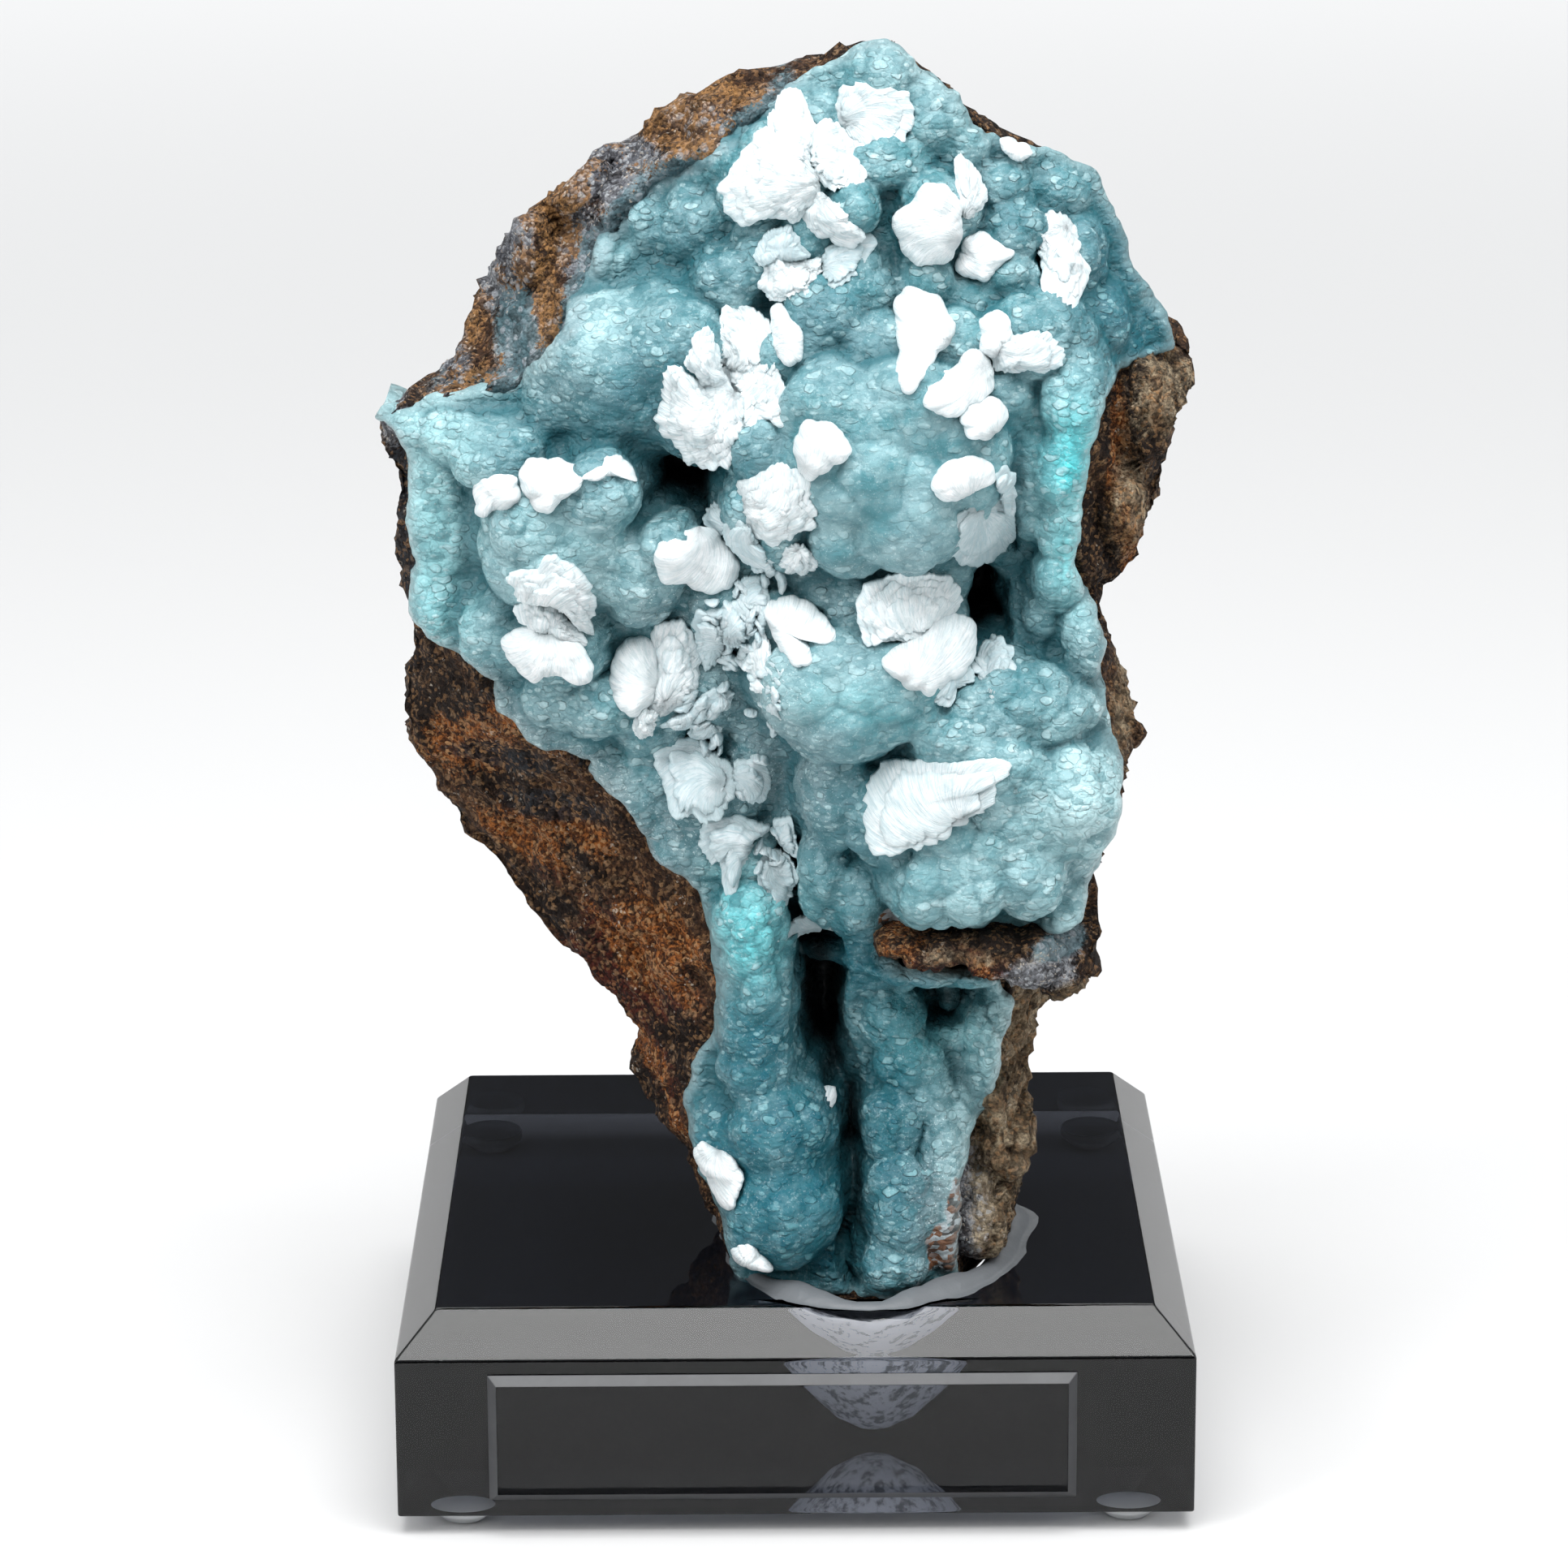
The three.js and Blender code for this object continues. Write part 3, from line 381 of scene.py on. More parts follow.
# rounded lumps of the crust: centre x, centre z, half width, half height, tip depth, bulge
lumps = {
    "crown": [[15, 225, 7.5, 7, 44, 8], [23, 219, 7.5, 8, 42, 9], [16, 212, 7.5, 6, 38, 8],
              [28, 214, 4.5, 5.5, 42, 6], [34, 208, 6, 6, 41, 7], [42, 206, 6, 6, 45, 8],
              [35, 202, 5.5, 5, 36, 6], [34, 196, 5, 4, 33, 6], [10, 207, 4, 4, 31, 5],
              [54, 191, 5.5, 11, 48, 8], [51, 200, 4, 5.5, 50, 6], [-1, 210, 10.5, 10, 36, 9],
              [-10, 212, 5.5, 5.5, 43, 6], [5, 218, 7, 6.5, 43, 8], [3, 202, 5.5, 5.5, 34, 6],
              [23, 205, 7.5, 7.5, 33, 9], [45, 197, 5.5, 7, 39, 7], [60, 185, 4, 5.5, 48, 6],
              [49, 187, 5, 6.5, 38, 7]],
    "left": [[-14, 202, 8, 7.5, 41, 9], [-22, 202, 6, 6, 45, 7], [-29, 187, 5.5, 7.5, 37, 8],
             [-29, 196, 5.5, 6, 43, 6], [-26, 180, 16.5, 14, 25, 16], [-35, 184, 7, 8, 31, 9],
             [-18, 186, 9, 8, 23, 10], [-13, 175, 9, 8, 24, 10], [-9, 195, 7, 6.5, 32, 8],
             [-4, 200, 5.5, 6, 34, 7], [5, 190, 7.5, 8, 26, 9], [0, 184, 6.5, 6.5, 24, 8],
             [-29, 204, 6, 4.5, 47, 6], [-36, 193, 4, 6.5, 43, 6], [-36, 175, 7, 6.5, 31, 8],
             [-43, 178, 4, 5.5, 39, 6]],
    "middle": [[11, 195, 6.5, 6, 30, 7], [21, 195, 5.5, 5.5, 31, 7], [28, 192, 5.5, 5, 32, 6],
               [14, 186, 8, 6, 25, 8], [38, 187, 9.5, 7.5, 24, 9], [44, 180, 6, 7.5, 24, 8],
               [33, 178, 6.5, 8, 23, 8], [26, 186, 7.5, 6.5, 24, 8]],
    "centre": [[15, 169, 19.5, 17, 9, 20], [7, 178, 9.5, 8, 14, 10], [18, 179, 10, 8, 12, 11],
               [27, 171, 7.5, 9.5, 13, 9], [9, 167, 8, 8, 9, 9], [18, 162, 9.5, 9, 8, 10],
               [9, 158, 7, 6, 11, 8], [11, 147, 9, 6, 16, 8], [-6, 162, 5.5, 6.5, 18, 8],
               [-5, 171, 5.5, 6.5, 18, 8], [-2, 159, 6.5, 7, 16, 9]],
    "shaft": [[8, 134, 12.5, 11.5, 6, 13], [1, 135, 6.5, 8, 8, 8], [17, 135, 7.5, 8.5, 8, 9],
              [7, 118, 6.5, 10.5, 13, 9], [5, 104, 4.5, 9.5, 17, 7], [11, 99, 5.5, 7.5, 16, 7],
              [-11, 146, 7.5, 6.5, 22, 8], [-3, 144, 6.5, 6, 17, 8], [-12, 131, 7.5, 8, 25, 8],
              [-5, 121, 6, 7.5, 25, 7], [-12, 114, 8, 6.5, 24, 7], [-7, 104, 6.5, 7, 24, 7]],
    "right": [[30, 113, 21, 17.5, 7, 18], [44, 117, 8.5, 9.5, 6, 10], [35, 130, 13.5, 7.5, 12, 9],
              [26, 127, 8, 6, 9, 8], [21, 104, 7, 7, 6, 8], [28, 104, 5.5, 6.5, 5, 7],
              [37, 105, 6.5, 6.5, 6, 8], [43, 98, 4.5, 6.5, 12, 6], [14, 114, 6, 8, 11, 8],
              [33, 122, 8, 6.5, 6, 8], [51, 129, 4, 6, 20, 7], [51, 104, 3, 5.5, 20, 6]],
    "wall": [[44.5, 177, 6, 8, 20, 8], [42.5, 168, 5, 7.5, 20, 7], [43, 158, 5, 8, 21.5, 8],
             [37.5, 167, 5, 12, 24, 7], [42, 150, 4.5, 5.5, 22, 6], [40, 143, 4, 5, 26, 6],
             [36, 147, 4, 9.5, 36, 8], [46, 140, 4, 6.5, 20, 6]],
    "wing": [[-55, 159, 7.5, 16, 34, 8], [-56, 143, 6, 9.5, 34, 8], [-36, 156, 14, 13.5, 18, 13],
             [-30, 165, 7, 6.5, 16, 8], [-19, 157, 4.5, 3.5, 17, 5], [-45, 169, 9, 6, 25, 8],
             [-24, 151, 8, 8, 19, 8], [-30, 129, 6, 5.5, 22, 7], [-37, 130, 6, 5.5, 25, 7],
             [-46, 140, 7.5, 8.5, 27, 8], [-36, 140, 8, 8, 21, 8], [-23, 128, 7.5, 8, 24, 8],
             [-24, 115, 8, 9.5, 27, 7], [-15, 106, 8, 9.5, 26, 7], [-60, 171, 4.5, 4.5, 36, 6],
             [-52, 171, 6.5, 4.5, 31, 7]],
    "column": [[-7, 94, 6, 7.5, 17, 8], [-6.5, 88, 5.7, 7, 17.4, 8], [-6, 82, 6, 7.5, 17, 8],
               [-6, 76, 6.1, 7, 17, 8], [-6, 70, 6.5, 8, 17, 8], [-3, 60, 10, 9.5, 13, 11],
               [-2, 48, 10, 10.5, 10, 11], [-10, 58, 6.5, 8.5, 19, 8], [-7, 44, 4.5, 5.5, 13, 6],
               [-15, 65, 4.5, 8, 31, 6], [16, 77, 5.5, 5.5, 22, 7], [19, 70, 6, 6, 21, 7],
               [22, 64, 4, 4.5, 20, 5], [11, 69, 4, 7, 31, 6], [16, 60, 5, 7, 17, 7],
               [17, 47, 6, 11, 12, 8], [16, 39, 6, 5, 11, 6], [31, 73, 3.5, 8.5, 22, 5],
               [24, 50, 4.5, 13.5, 15, 6], [26, 58, 4, 8.5, 20, 6], [22, 87.4, 9, 1.7, 16, 3],
               [28, 86.4, 6, 1.6, 17, 3], [25, 81, 2.2, 4, 30, 4]],
}
crustLumps = np.array([lump for group in lumps.values() for lump in group])

# dark openings between the lumps: centre x, centre z, half width, half height, depth
openings = np.array([
    [-18.5, 162, 9, 9, 50], [4.5, 86, 4.3, 9.5, 48], [4.5, 76, 3.8, 9, 48], [7.5, 66, 3.2, 8, 46],
    [9.8, 58, 2.8, 9, 44], [9.5, 45, 2.5, 11, 38], [31, 142.5, 3.5, 8.5, 48], [24.5, 80, 6.5, 4.5, 48],
    [35.5, 157, 1.2, 4, 36], [0, 100, 3, 8, 40],
])

# lumps of bare rock: the ledge, the sandy knobs, the right band, the sugary patches
rockLumps = np.array([
    [14, 93, 4, 2, 13, 4], [17, 94.6, 3.5, 2.6, 11, 4], [22, 93, 5, 2.2, 9.5, 4],
    [27, 93.3, 4, 2.6, 8.5, 5], [31, 91.5, 5, 3, 8, 5], [37, 90.5, 5, 3, 8.5, 5],
    [42, 89, 4, 3.6, 11.5, 5], [45, 91.5, 4.5, 4.5, 15, 6], [24, 95.5, 5, 1.8, 9.5, 4],
    [31, 94.6, 5, 2.2, 8.5, 4], [38, 93.6, 5, 2.6, 9.5, 5], [34, 55, 5, 6, 24, 6], [32, 64, 4, 5, 25, 5],
    [30, 44, 5, 7, 20, 6], [54, 123, 3, 4, 37, 5], [56, 172, 5, 8, 36, 6], [52, 158, 5, 8, 35, 6],
    [-40, 197, 4, 6, 49, 5], [-33, 206, 5, 5, 50, 5], [-50, 178, 4, 4, 43, 5], [-10, 217, 5, 5, 48, 5],
])

# carved seat in the block: height, centre x, centre depth, half width, half depth
seatRings = np.array([
    [6.2, 13, 46.8, 3, 3.5], [8.5, 13, 46.5, 6.5, 7.5], [13.5, 13, 46, 10, 12.5],
    [22, 12.8, 44.5, 14.5, 19], [31, 12.5, 42, 19.5, 28], [36.2, 12.3, 41, 23.8, 34],
])

# maps of the specimen's front over x and z, how far behind the level the bare rock starts,
# how far a lump pulls at the level, and over how many mm two depths blend
field = {"left": -70.0, "right": 69.0, "low": 28.0, "high": 238.0, "step": 0.3}
crustRim = 3.0
levelReach = 8.0
blendWidth = 2.4


def limits(table, height, column):
    # a column of a table by height, straight lines between its rows
    return np.interp(height, table[:, 0], table[:, column])


def nearTop(z):
    # how near a point is to the specimen's top, where the pieces are lowered a little
    return smoothStep(214, 232, z)


def fieldGrid(step):
    # steps of a map across and up
    xs = np.arange(field["left"], field["right"], step)
    zs = np.arange(field["low"], field["high"], step)
    return xs, zs


def refined(coarse, step):
    # a coarse map read out on the fine grid, straight lines between its points
    xs, zs = fieldGrid(step)
    fineXs, fineZs = fieldGrid(field["step"])
    wide = np.array([np.interp(fineXs, xs, row) for row in coarse])
    return np.array([np.interp(fineZs, zs, column) for column in wide.T]).T


def sampled(table, x, z):
    # straight-line reading of a map at x, z
    u = np.clip((x - field["left"]) / field["step"], 0, table.shape[1] - 1.001)
    v = np.clip((z - field["low"]) / field["step"], 0, table.shape[0] - 1.001)
    i, j = v.astype(int), u.astype(int)
    s, t = u - j, v - i
    low = table[i, j] * (1 - s) + table[i, j + 1] * s
    high = table[i + 1, j] * (1 - s) + table[i + 1, j + 1] * s
    return low * (1 - t) + high * t


def blurred(table, reach):
    # three running means of reach mm, along x and along z
    width = 2 * int(reach / field["step"] / 2) + 1
    for axis in (0, 1, 0, 1, 0, 1):
        pad = [(width // 2 + 1, width // 2) if a == axis else (0, 0) for a in (0, 1)]
        total = np.cumsum(np.pad(table, pad, mode="edge"), axis=axis)
        count = table.shape[axis]
        ahead = np.take(total, np.arange(width, width + count), axis=axis)
        behind = np.take(total, np.arange(count), axis=axis)
        table = (ahead - behind) / width
    return table


def nearer(a, b, width):
    # the nearer of two depths, rounded where they meet
    h = np.clip(0.5 + 0.5 * (b - a) / width, 0, 1)
    return b + (a - b) * h - width * h * (1 - h)


def levelMap():
    # mean depth of the rims of the lumps around a point, weighted by exp(-d^2 / 2 reach^2)
    # and the root of the lump's size
    step = 6 * field["step"]
    x, z = np.meshgrid(*fieldGrid(step))
    cx, cz, halfWidth, halfHeight, tip, bulge = crustLumps.T[:, :, None, None]
    weight = np.exp(-((x - cx) ** 2 + (z - cz) ** 2) / (2 * levelReach ** 2))
    weight = weight * np.sqrt(halfWidth * halfHeight)
    restWeight, restDepth, rimShare, behind = 1e-6, 35, 0.75, 1
    total = (weight * (tip + rimShare * bulge + behind)).sum(0) + restWeight * restDepth
    return refined(total / (weight.sum(0) + restWeight), step)


def addLumps(depth, x, z, lumpRows):
    # ellipsoids tip + bulge (1 - sqrt(1 - r^2)), falling steeply past their rims
    fall, windowReach = 4, 3
    for cx, cz, halfWidth, halfHeight, tip, bulge in lumpRows:
        near = (abs(x - cx) < windowReach * halfWidth) & (abs(z - cz) < windowReach * halfHeight)
        r = np.hypot((x[near] - cx) / halfWidth, (z[near] - cz) / halfHeight)
        dome = 1 - np.sqrt(np.clip(1 - r * r, 0, 1))
        front = tip + bulge * np.where(r < 1, dome, 1 + (r - 1) * fall)
        depth[near] = nearer(depth[near], front, blendWidth)
    return depth


def frontMap(level):
    # the level, sunk at the openings, with all lumps on it
    mouth, wallSteepness = 1.15, 1.6
    x, z = np.meshgrid(*fieldGrid(field["step"]))
    depth = level.copy()
    for cx, cz, halfWidth, halfHeight, bottom in openings:
        r = np.hypot((x - cx) / halfWidth, (z - cz) / halfHeight)
        t = np.clip(wallSteepness * (mouth - r), 0, 1)
        depth += np.maximum(bottom - depth, 0) * t * t * (3 - 2 * t)
    return addLumps(depth, x, z, crustLumps)


def edgeMap(outline):
    # distance to the crust's outline in mm, positive inside it
    step = 2 * field["step"]
    x, z = np.meshgrid(*fieldGrid(step))
    right = np.stack([outline[:, 2], outline[:, 0]], 1)
    left = np.stack([outline[:, 1], outline[:, 0]], 1)[::-1]
    corners = np.concatenate([right, left])
    closest = np.full(x.shape, np.inf)
    inside = np.zeros(x.shape, bool)
    for (ax, az), (bx, bz) in zip(corners, np.roll(corners, -1, axis=0)):
        dx, dz = bx - ax, bz - az
        t = np.clip(((x - ax) * dx + (z - az) * dz) / (dx * dx + dz * dz), 0, 1)
        closest = np.minimum(closest, np.hypot(x - ax - t * dx, z - az - t * dz))
        crosses = (az > z) != (bz > z)
        inside ^= crosses & (x < ax + (z - az) * dx / (dz if dz else 1))
    return refined(np.where(inside, closest, -closest), step)


def raggedEdge(distance):
    # the distance to the outline with waves of 1.4 and 3.5 mm all round, and of 2.6 and 7 mm
    # over the bare rock low down on the left
    x, z = np.meshgrid(*fieldGrid(field["step"]))
    points = np.stack([x, np.zeros_like(x), z], -1)
    distance += 0.55 * noise(points, 3.5, 11) + 0.3 * noise(points, 1.4, 12)
    lowLeft = smoothStep(-12, -18, x) * smoothStep(98, 104, z) * smoothStep(140, 134, z)
    distance += lowLeft * (1.7 * noise(points, 7, 13) + 0.8 * noise(points, 2.6, 14))
    return distance


def spots(x, z, rows):
    # soft ellipses: the largest of strength exp(-r^2) over rows of x, z, half width, half
    # height, strength
    total = np.zeros(np.shape(x))
    for cx, cz, halfWidth, halfHeight, strength in rows:
        r2 = ((x - cx) / halfWidth) ** 2 + ((z - cz) / halfHeight) ** 2
        total = np.maximum(total, strength * np.exp(-r2))
    return total


levelDepth = levelMap()
frontDepth = frontMap(levelDepth)
softDepth = blurred(frontDepth, 4.0)
softSlopeZ, softSlopeX = np.gradient(softDepth, field["step"])
edgeDistance = raggedEdge(edgeMap(crustOutline))
edgeSlopeZ, edgeSlopeX = np.gradient(edgeDistance, field["step"])
print("front of the specimen mapped", frontDepth.shape)


# Crust: sizes, heights and depths in mm

crust = {
    "spacing": 0.43, "relaxRounds": 30, "trimRounds": 4, "snapRounds": 3,
    "rimRadius": 1.7, "rootDepth": 56.0, "rootInset": 3.2, "topDrop": 1.3,
    # rings behind the rim: how far back, how far in
    "wall": [[1.2, 0.3], [3.0, 0.5], [7.0, 2.2]],
    "wanderSize": 9, "wanderReach": 1.2, "domeReach": 0.75, "lobeReach": 0.85,
    "lobeSize": 11.0, "lobeHeight": 3.6,
    "budSize": 5.6, "budHeight": 1.6,
    "scaleSize": 2.0, "scaleHeight": 0.36,
    "fineSize": 1.1, "fineHeight": 0.1,
    # x, z, half width, half height, strength
    "zones": {
        "turquoise": [[43.5, 170, 4.5, 9, 1.1], [43, 156, 4, 9, 0.6], [-7, 95, 7, 8, 0.75],
                      [-56, 150, 5, 22, 0.35], [23, 76, 9, 7, 0.25], [10, 135, 8, 4, 0.2]],
        "pale": [[-56, 160, 9, 22, 1.2], [-33, 197, 10, 12, 0.8], [46, 119, 9, 11, 1.4],
                 [-36, 152, 14, 12, 0.7], [35, 106, 16, 10, 0.3], [40, 119, 12, 9, 0.5],
                 [30, 103, 14, 8, 0.5], [-5, 98, 7, 7, 0.6], [-28, 166, 11, 7, 0.5],
                 [44, 160, 6, 22, 1.1], [28, 66, 6, 10, 0.6], [15, 225, 10, 6, 0.3], [-3, 137, 8, 6, 0.5],
                 [-30, 191, 4, 8, 1.0], [28, 54, 4, 12, 0.9], [45, 96, 6, 7, 0.8], [33, 74, 4, 10, 1.1]],
        "drusy": [[28, 52, 4, 13, 0.8], [-8, 137, 9, 14, 1.0], [-3, 120, 8, 14, 1.0],
                  [-18, 147, 14, 8, 0.7], [-15, 112, 9, 10, 0.8], [24, 50, 5, 14, 1.0],
                  [-38, 190, 6, 12, 0.5], [-24, 209, 8, 4, 0.4], [14, 151, 14, 8, 0.5],
                  [26, 45, 5, 8, 1.0], [47, 137, 6, 7, 0.5]],
        "smooth": [[15, 170, 20, 17, 0.8], [-45, 157, 20, 20, 0.8], [-26, 180, 18, 13, 0.7],
                   [8, 134, 13, 10, 0.8], [43, 117, 10, 10, 0.5], [-3, 55, 10, 14, 0.5]],
        "calm": [[15, 168, 20, 17, 1.0], [8, 134, 13, 10, 0.9], [22, 110, 14, 14, 0.6],
                 [-36, 152, 14, 12, 0.4], [14, 186, 12, 8, 0.5], [0, 52, 12, 12, 0.5]],
        # gloom: painted shade, near black, in the dark openings between the lumps
        "gloom": [[4.4, 88, 2.9, 6, 1.0], [4.2, 78, 2.5, 6, 1.0], [6.5, 69, 2.2, 5, 0.9],
                  [9.6, 60, 1.8, 8, 1.0], [10.3, 50, 1.5, 8, 0.8], [24.5, 80, 4, 2.6, 0.8]],
        "stain": [[15.5, 96.8, 2.2, 1.6, 1.2], [26, 49, 2.2, 8, 0.7], [24, 42, 3, 5, 1.1]],
        # deep: a darker teal, partly the crust's own colour and partly painted shade on the shadowed
        # lower parts and in recesses
        "deepTealAndShade": [[54, 190, 12, 20, 1.3], [-26, 170, 22, 6, 1.1], [-24, 181, 14, 11, 0.85],
                 [-2, 52, 18, 22, 1.8], [-6, 74, 9, 12, 1.3], [10, 88, 14, 10, 1.2], [17, 62, 9, 26, 1.2],
                 [5, 192, 10, 7, 0.6], [-36, 140, 10, 8, 0.35], [40, 147, 8, 10, 0.8],
                 [-14, 118, 8, 10, 0.5], [-18, 200, 14, 8, 0.6], [8, 112, 8, 16, 0.6],
                 [38, 206, 12, 8, 0.5], [-40, 147, 12, 8, 0.4]],
    },
}


def relaxedGrid(spacing, rounds):
    # each point moves half the way to the mean of its four neighbours, weighted by the length
    # of the edge to it, so that the grid closes up where the front is steep
    x, z = np.meshgrid(*fieldGrid(spacing))
    for _ in range(rounds):
        p = np.stack([x, sampled(frontDepth, x, z), z], -1)
        across = np.linalg.norm(np.diff(p, axis=1), axis=-1)
        upwards = np.linalg.norm(np.diff(p, axis=0), axis=-1)
        west, east = across[1:-1, :-1], across[1:-1, 1:]
        south, north = upwards[:-1, 1:-1], upwards[1:, 1:-1]
        total = west + east + south + north
        for q in (x, z):
            pull = west * q[1:-1, :-2] + east * q[1:-1, 2:]
            pull = pull + south * q[:-2, 1:-1] + north * q[2:, 1:-1]
            q[1:-1, 1:-1] = (q[1:-1, 1:-1] + pull / total) / 2
    return x, z


def keptQuads(x, z):
    # quads of the grid inside the outline, without those that hang on by a corner
    mean = sampled(edgeDistance, x, z)
    mean = (mean[:-1, :-1] + mean[1:, :-1] + mean[:-1, 1:] + mean[1:, 1:]) / 4
    keep = mean > 0
    for _ in range(crust["trimRounds"]):
        padded = np.pad(keep, 1)
        neighbours = (padded[:-2, 1:-1].astype(int) + padded[2:, 1:-1]
                      + padded[1:-1, :-2] + padded[1:-1, 2:])
        keep &= neighbours >= 2
    return gridQuads(*x.shape)[keep.ravel()]


def longestRim(quads):
    # the longest closed chain of the edges that only one quad has
    edges = np.concatenate([np.stack([quads[:, k], quads[:, (k + 1) % 4]], 1) for k in range(4)])
    size = edges.max() + 1
    forward = edges[:, 0] * size + edges[:, 1]
    single = edges[~np.isin(forward, edges[:, 1] * size + edges[:, 0])]
    following = dict(single.tolist())
    chains = []
    while following:
        start, at = following.popitem()
        chain = [start]
        while at != start and at in following:
            chain.append(at)
            at = following.pop(at)
        chains.append(chain)
    return np.array(max(chains, key=len))


def surfaceNormals(x, z, table):
    # the front y = f(x, z) looks along (df/dx, -1, df/dz)
    slopeZ, slopeX = np.gradient(table, field["step"])
    n = np.stack([sampled(slopeX, x, z), -np.ones_like(x), sampled(slopeZ, x, z)], -1)
    return n / np.linalg.norm(n, axis=-1, keepdims=True)


def crustPlan():
    # x and z of the relaxed grid inside the outline, its quads and its rim. The rim's points
    # step by -d g / |g|^2, with d the distance to the outline and g its slope
    x, z = relaxedGrid(crust["spacing"], crust["relaxRounds"])
    used, quads = np.unique(keptQuads(x, z), return_inverse=True)
    quads = quads.reshape(-1, 4)
    x, z = x.ravel()[used], z.ravel()[used]
    rim = longestRim(quads)
    flattest = 0.3
    for _ in range(crust["snapRounds"]):
        gap = sampled(edgeDistance, x[rim], z[rim])
        gx, gz = [sampled(slope, x[rim], z[rim]) for slope in (edgeSlopeX, edgeSlopeZ)]
        length2 = np.maximum(gx * gx + gz * gz, flattest)
        x[rim] -= gap * gx / length2
        z[rim] -= gap * gz / length2
    return x, z, quads, rim


def crustSurface():
    # the mapped front, displaced along its normals by four sizes of rounded cells, with its
    # rim rolled back by radius - sqrt(radius^2 - way in^2)
    x, z, quads, rim = crustPlan()
    radius = crust["rimRadius"]
    margin = sampled(edgeDistance, x, z)
    depth = sampled(frontDepth, x, z)
    depth += radius - np.sqrt(radius ** 2 - (radius - np.clip(margin, 0, radius)) ** 2)
    points = np.stack([x, frontFace + depth, z], -1)
    normals = surfaceNormals(x, z, blurred(frontDepth, 0.9))

    # the edge is drusy too low down on the left
    zone = {label: spots(x, z, rows) for label, rows in crust["zones"].items()}
    bankLeft = smoothStep(-8, -14, x) * smoothStep(146, 138, z) * smoothStep(92, 98, z)
    zone["drusy"] = np.maximum(zone["drusy"], bankLeft * smoothStep(6, 1, margin))
    relief = 1 - zone.pop("smooth")
    wander = np.stack([noise(points, crust["wanderSize"], 21 + k) for k in range(3)], -1)
    wander *= crust["wanderReach"]
    lobe, lobeNext, _ = cells(points + wander, crust["lobeSize"], 27)
    bud, budNext, budTag = cells((points + wander) * (1, 1, 0.85), crust["budSize"], 31)
    scale, _, scaleTag = cells(points + 0.4 * wander, crust["scaleSize"], 41)
    fine, _, _ = cells(points, crust["fineSize"], 51)
    budDome, scaleDome, fineDome = [domed(d, crust["domeReach"]) for d in (bud, scale, fine)]
    # buds differ in height and are lower in drusy and smooth zones; smooth zones have lobes,
    # drusy ones more of the finest cells, and all is lower near the rim
    lift = crust["budHeight"] * (budDome - 0.5) * (0.4 + 0.6 * budTag)
    lift *= (1 - 0.5 * zone["drusy"]) * (0.15 + 0.85 * relief)
    lift += crust["lobeHeight"] * domed(lobe, crust["lobeReach"], 0.2) * (1 - relief)
    plates = crust["scaleHeight"] * (scaleDome - 0.5) * (0.35 + 0.9 * scaleTag)
    lift += plates * (0.4 + 0.6 * relief)
    lift += crust["fineHeight"] * (fineDome - 0.5) * (0.6 + 2.4 * zone["drusy"])
    lift *= 0.35 + 0.65 * smoothStep(0, 2.5, margin)
    points += normals * lift[:, None]
    points[:, 2] -= crust["topDrop"] * nearTop(z)

    # hollows and pits lie deeper than the softened front or the level round them; their masks, and those
    # of the creases between buds and lobes, carry painted shade
    wide, narrow = [sampled(frontDepth - blurred(frontDepth, reach), x, z) for reach in (11, 3)]
    pitShade = smoothStep(5, 13, sampled(frontDepth - levelDepth, x, z))
    budCreaseShade = smoothStep(0.16, 0.0, budNext - bud) * (0.4 + 0.6 * budTag) * relief
    lobeCreaseShade = smoothStep(0.1, 0.0, lobeNext - lobe) * (1 - relief)
    attributes = {
        "hollowShade": np.maximum(smoothStep(0.3, 7, wide), smoothStep(0.2, 1.8, narrow)),
        "pitShade": np.maximum(pitShade, zone.pop("gloom")),
        "bud": np.clip(budDome, 0, 1),
        "creaseShade": np.maximum(budCreaseShade, lobeCreaseShade),
        "scale": np.clip(scaleDome, 0, 1),
        "scaleTone": scaleTag,
        "frosted": smoothStep(5, 0, margin) * smoothStep(184, 190, z) * smoothStep(8, -4, x),
        # rim: painted highlight along the rolled rim
        "rim": 1 - smoothStep(0, 2.2, margin),
    }
    return points, quads, rim, attributes | zone


def makeCrust(material):
    # the surface, a wall of rings behind its rim, each further back and further in, and a
    # face over the last ring
    points, quads, rim, attributes = crustSurface()
    inX, inZ = [sampled(slope, points[rim, 0], points[rim, 2])
                for slope in (edgeSlopeX, edgeSlopeZ)]
    length = np.maximum(np.hypot(inX, inZ), 0.5)
    inward = np.stack([inX / length, np.zeros(len(rim)), inZ / length], -1)
    rings = [points[rim] + inward * inset + (0, back, 0) for back, inset in crust["wall"]]
    root = points[rim] + inward * crust["rootInset"]
    root[:, 1] = frontFace + crust["rootDepth"]
    rings.append(root)
    allPoints = np.concatenate([points, *rings])
    count = len(rim)
    lines = [rim] + [len(points) + k * count + np.arange(count) for k in range(len(rings))]
    walls = [np.stack([np.roll(front, -1), front, back, np.roll(back, -1)], 1)
             for front, back in zip(lines, lines[1:])]
    faceSets = flippedOutwards(allPoints, [quads, np.concatenate(walls), lines[-1][None]])
    padded = {label: np.concatenate([values, np.tile(values[rim], len(rings))])
              for label, values in attributes.items()}
    piece = buildMesh("smithsoniteCrust", allPoints, faceSets, padded)
    placePiece(piece, ["smithsonite_crust"], "smithsonite", material)


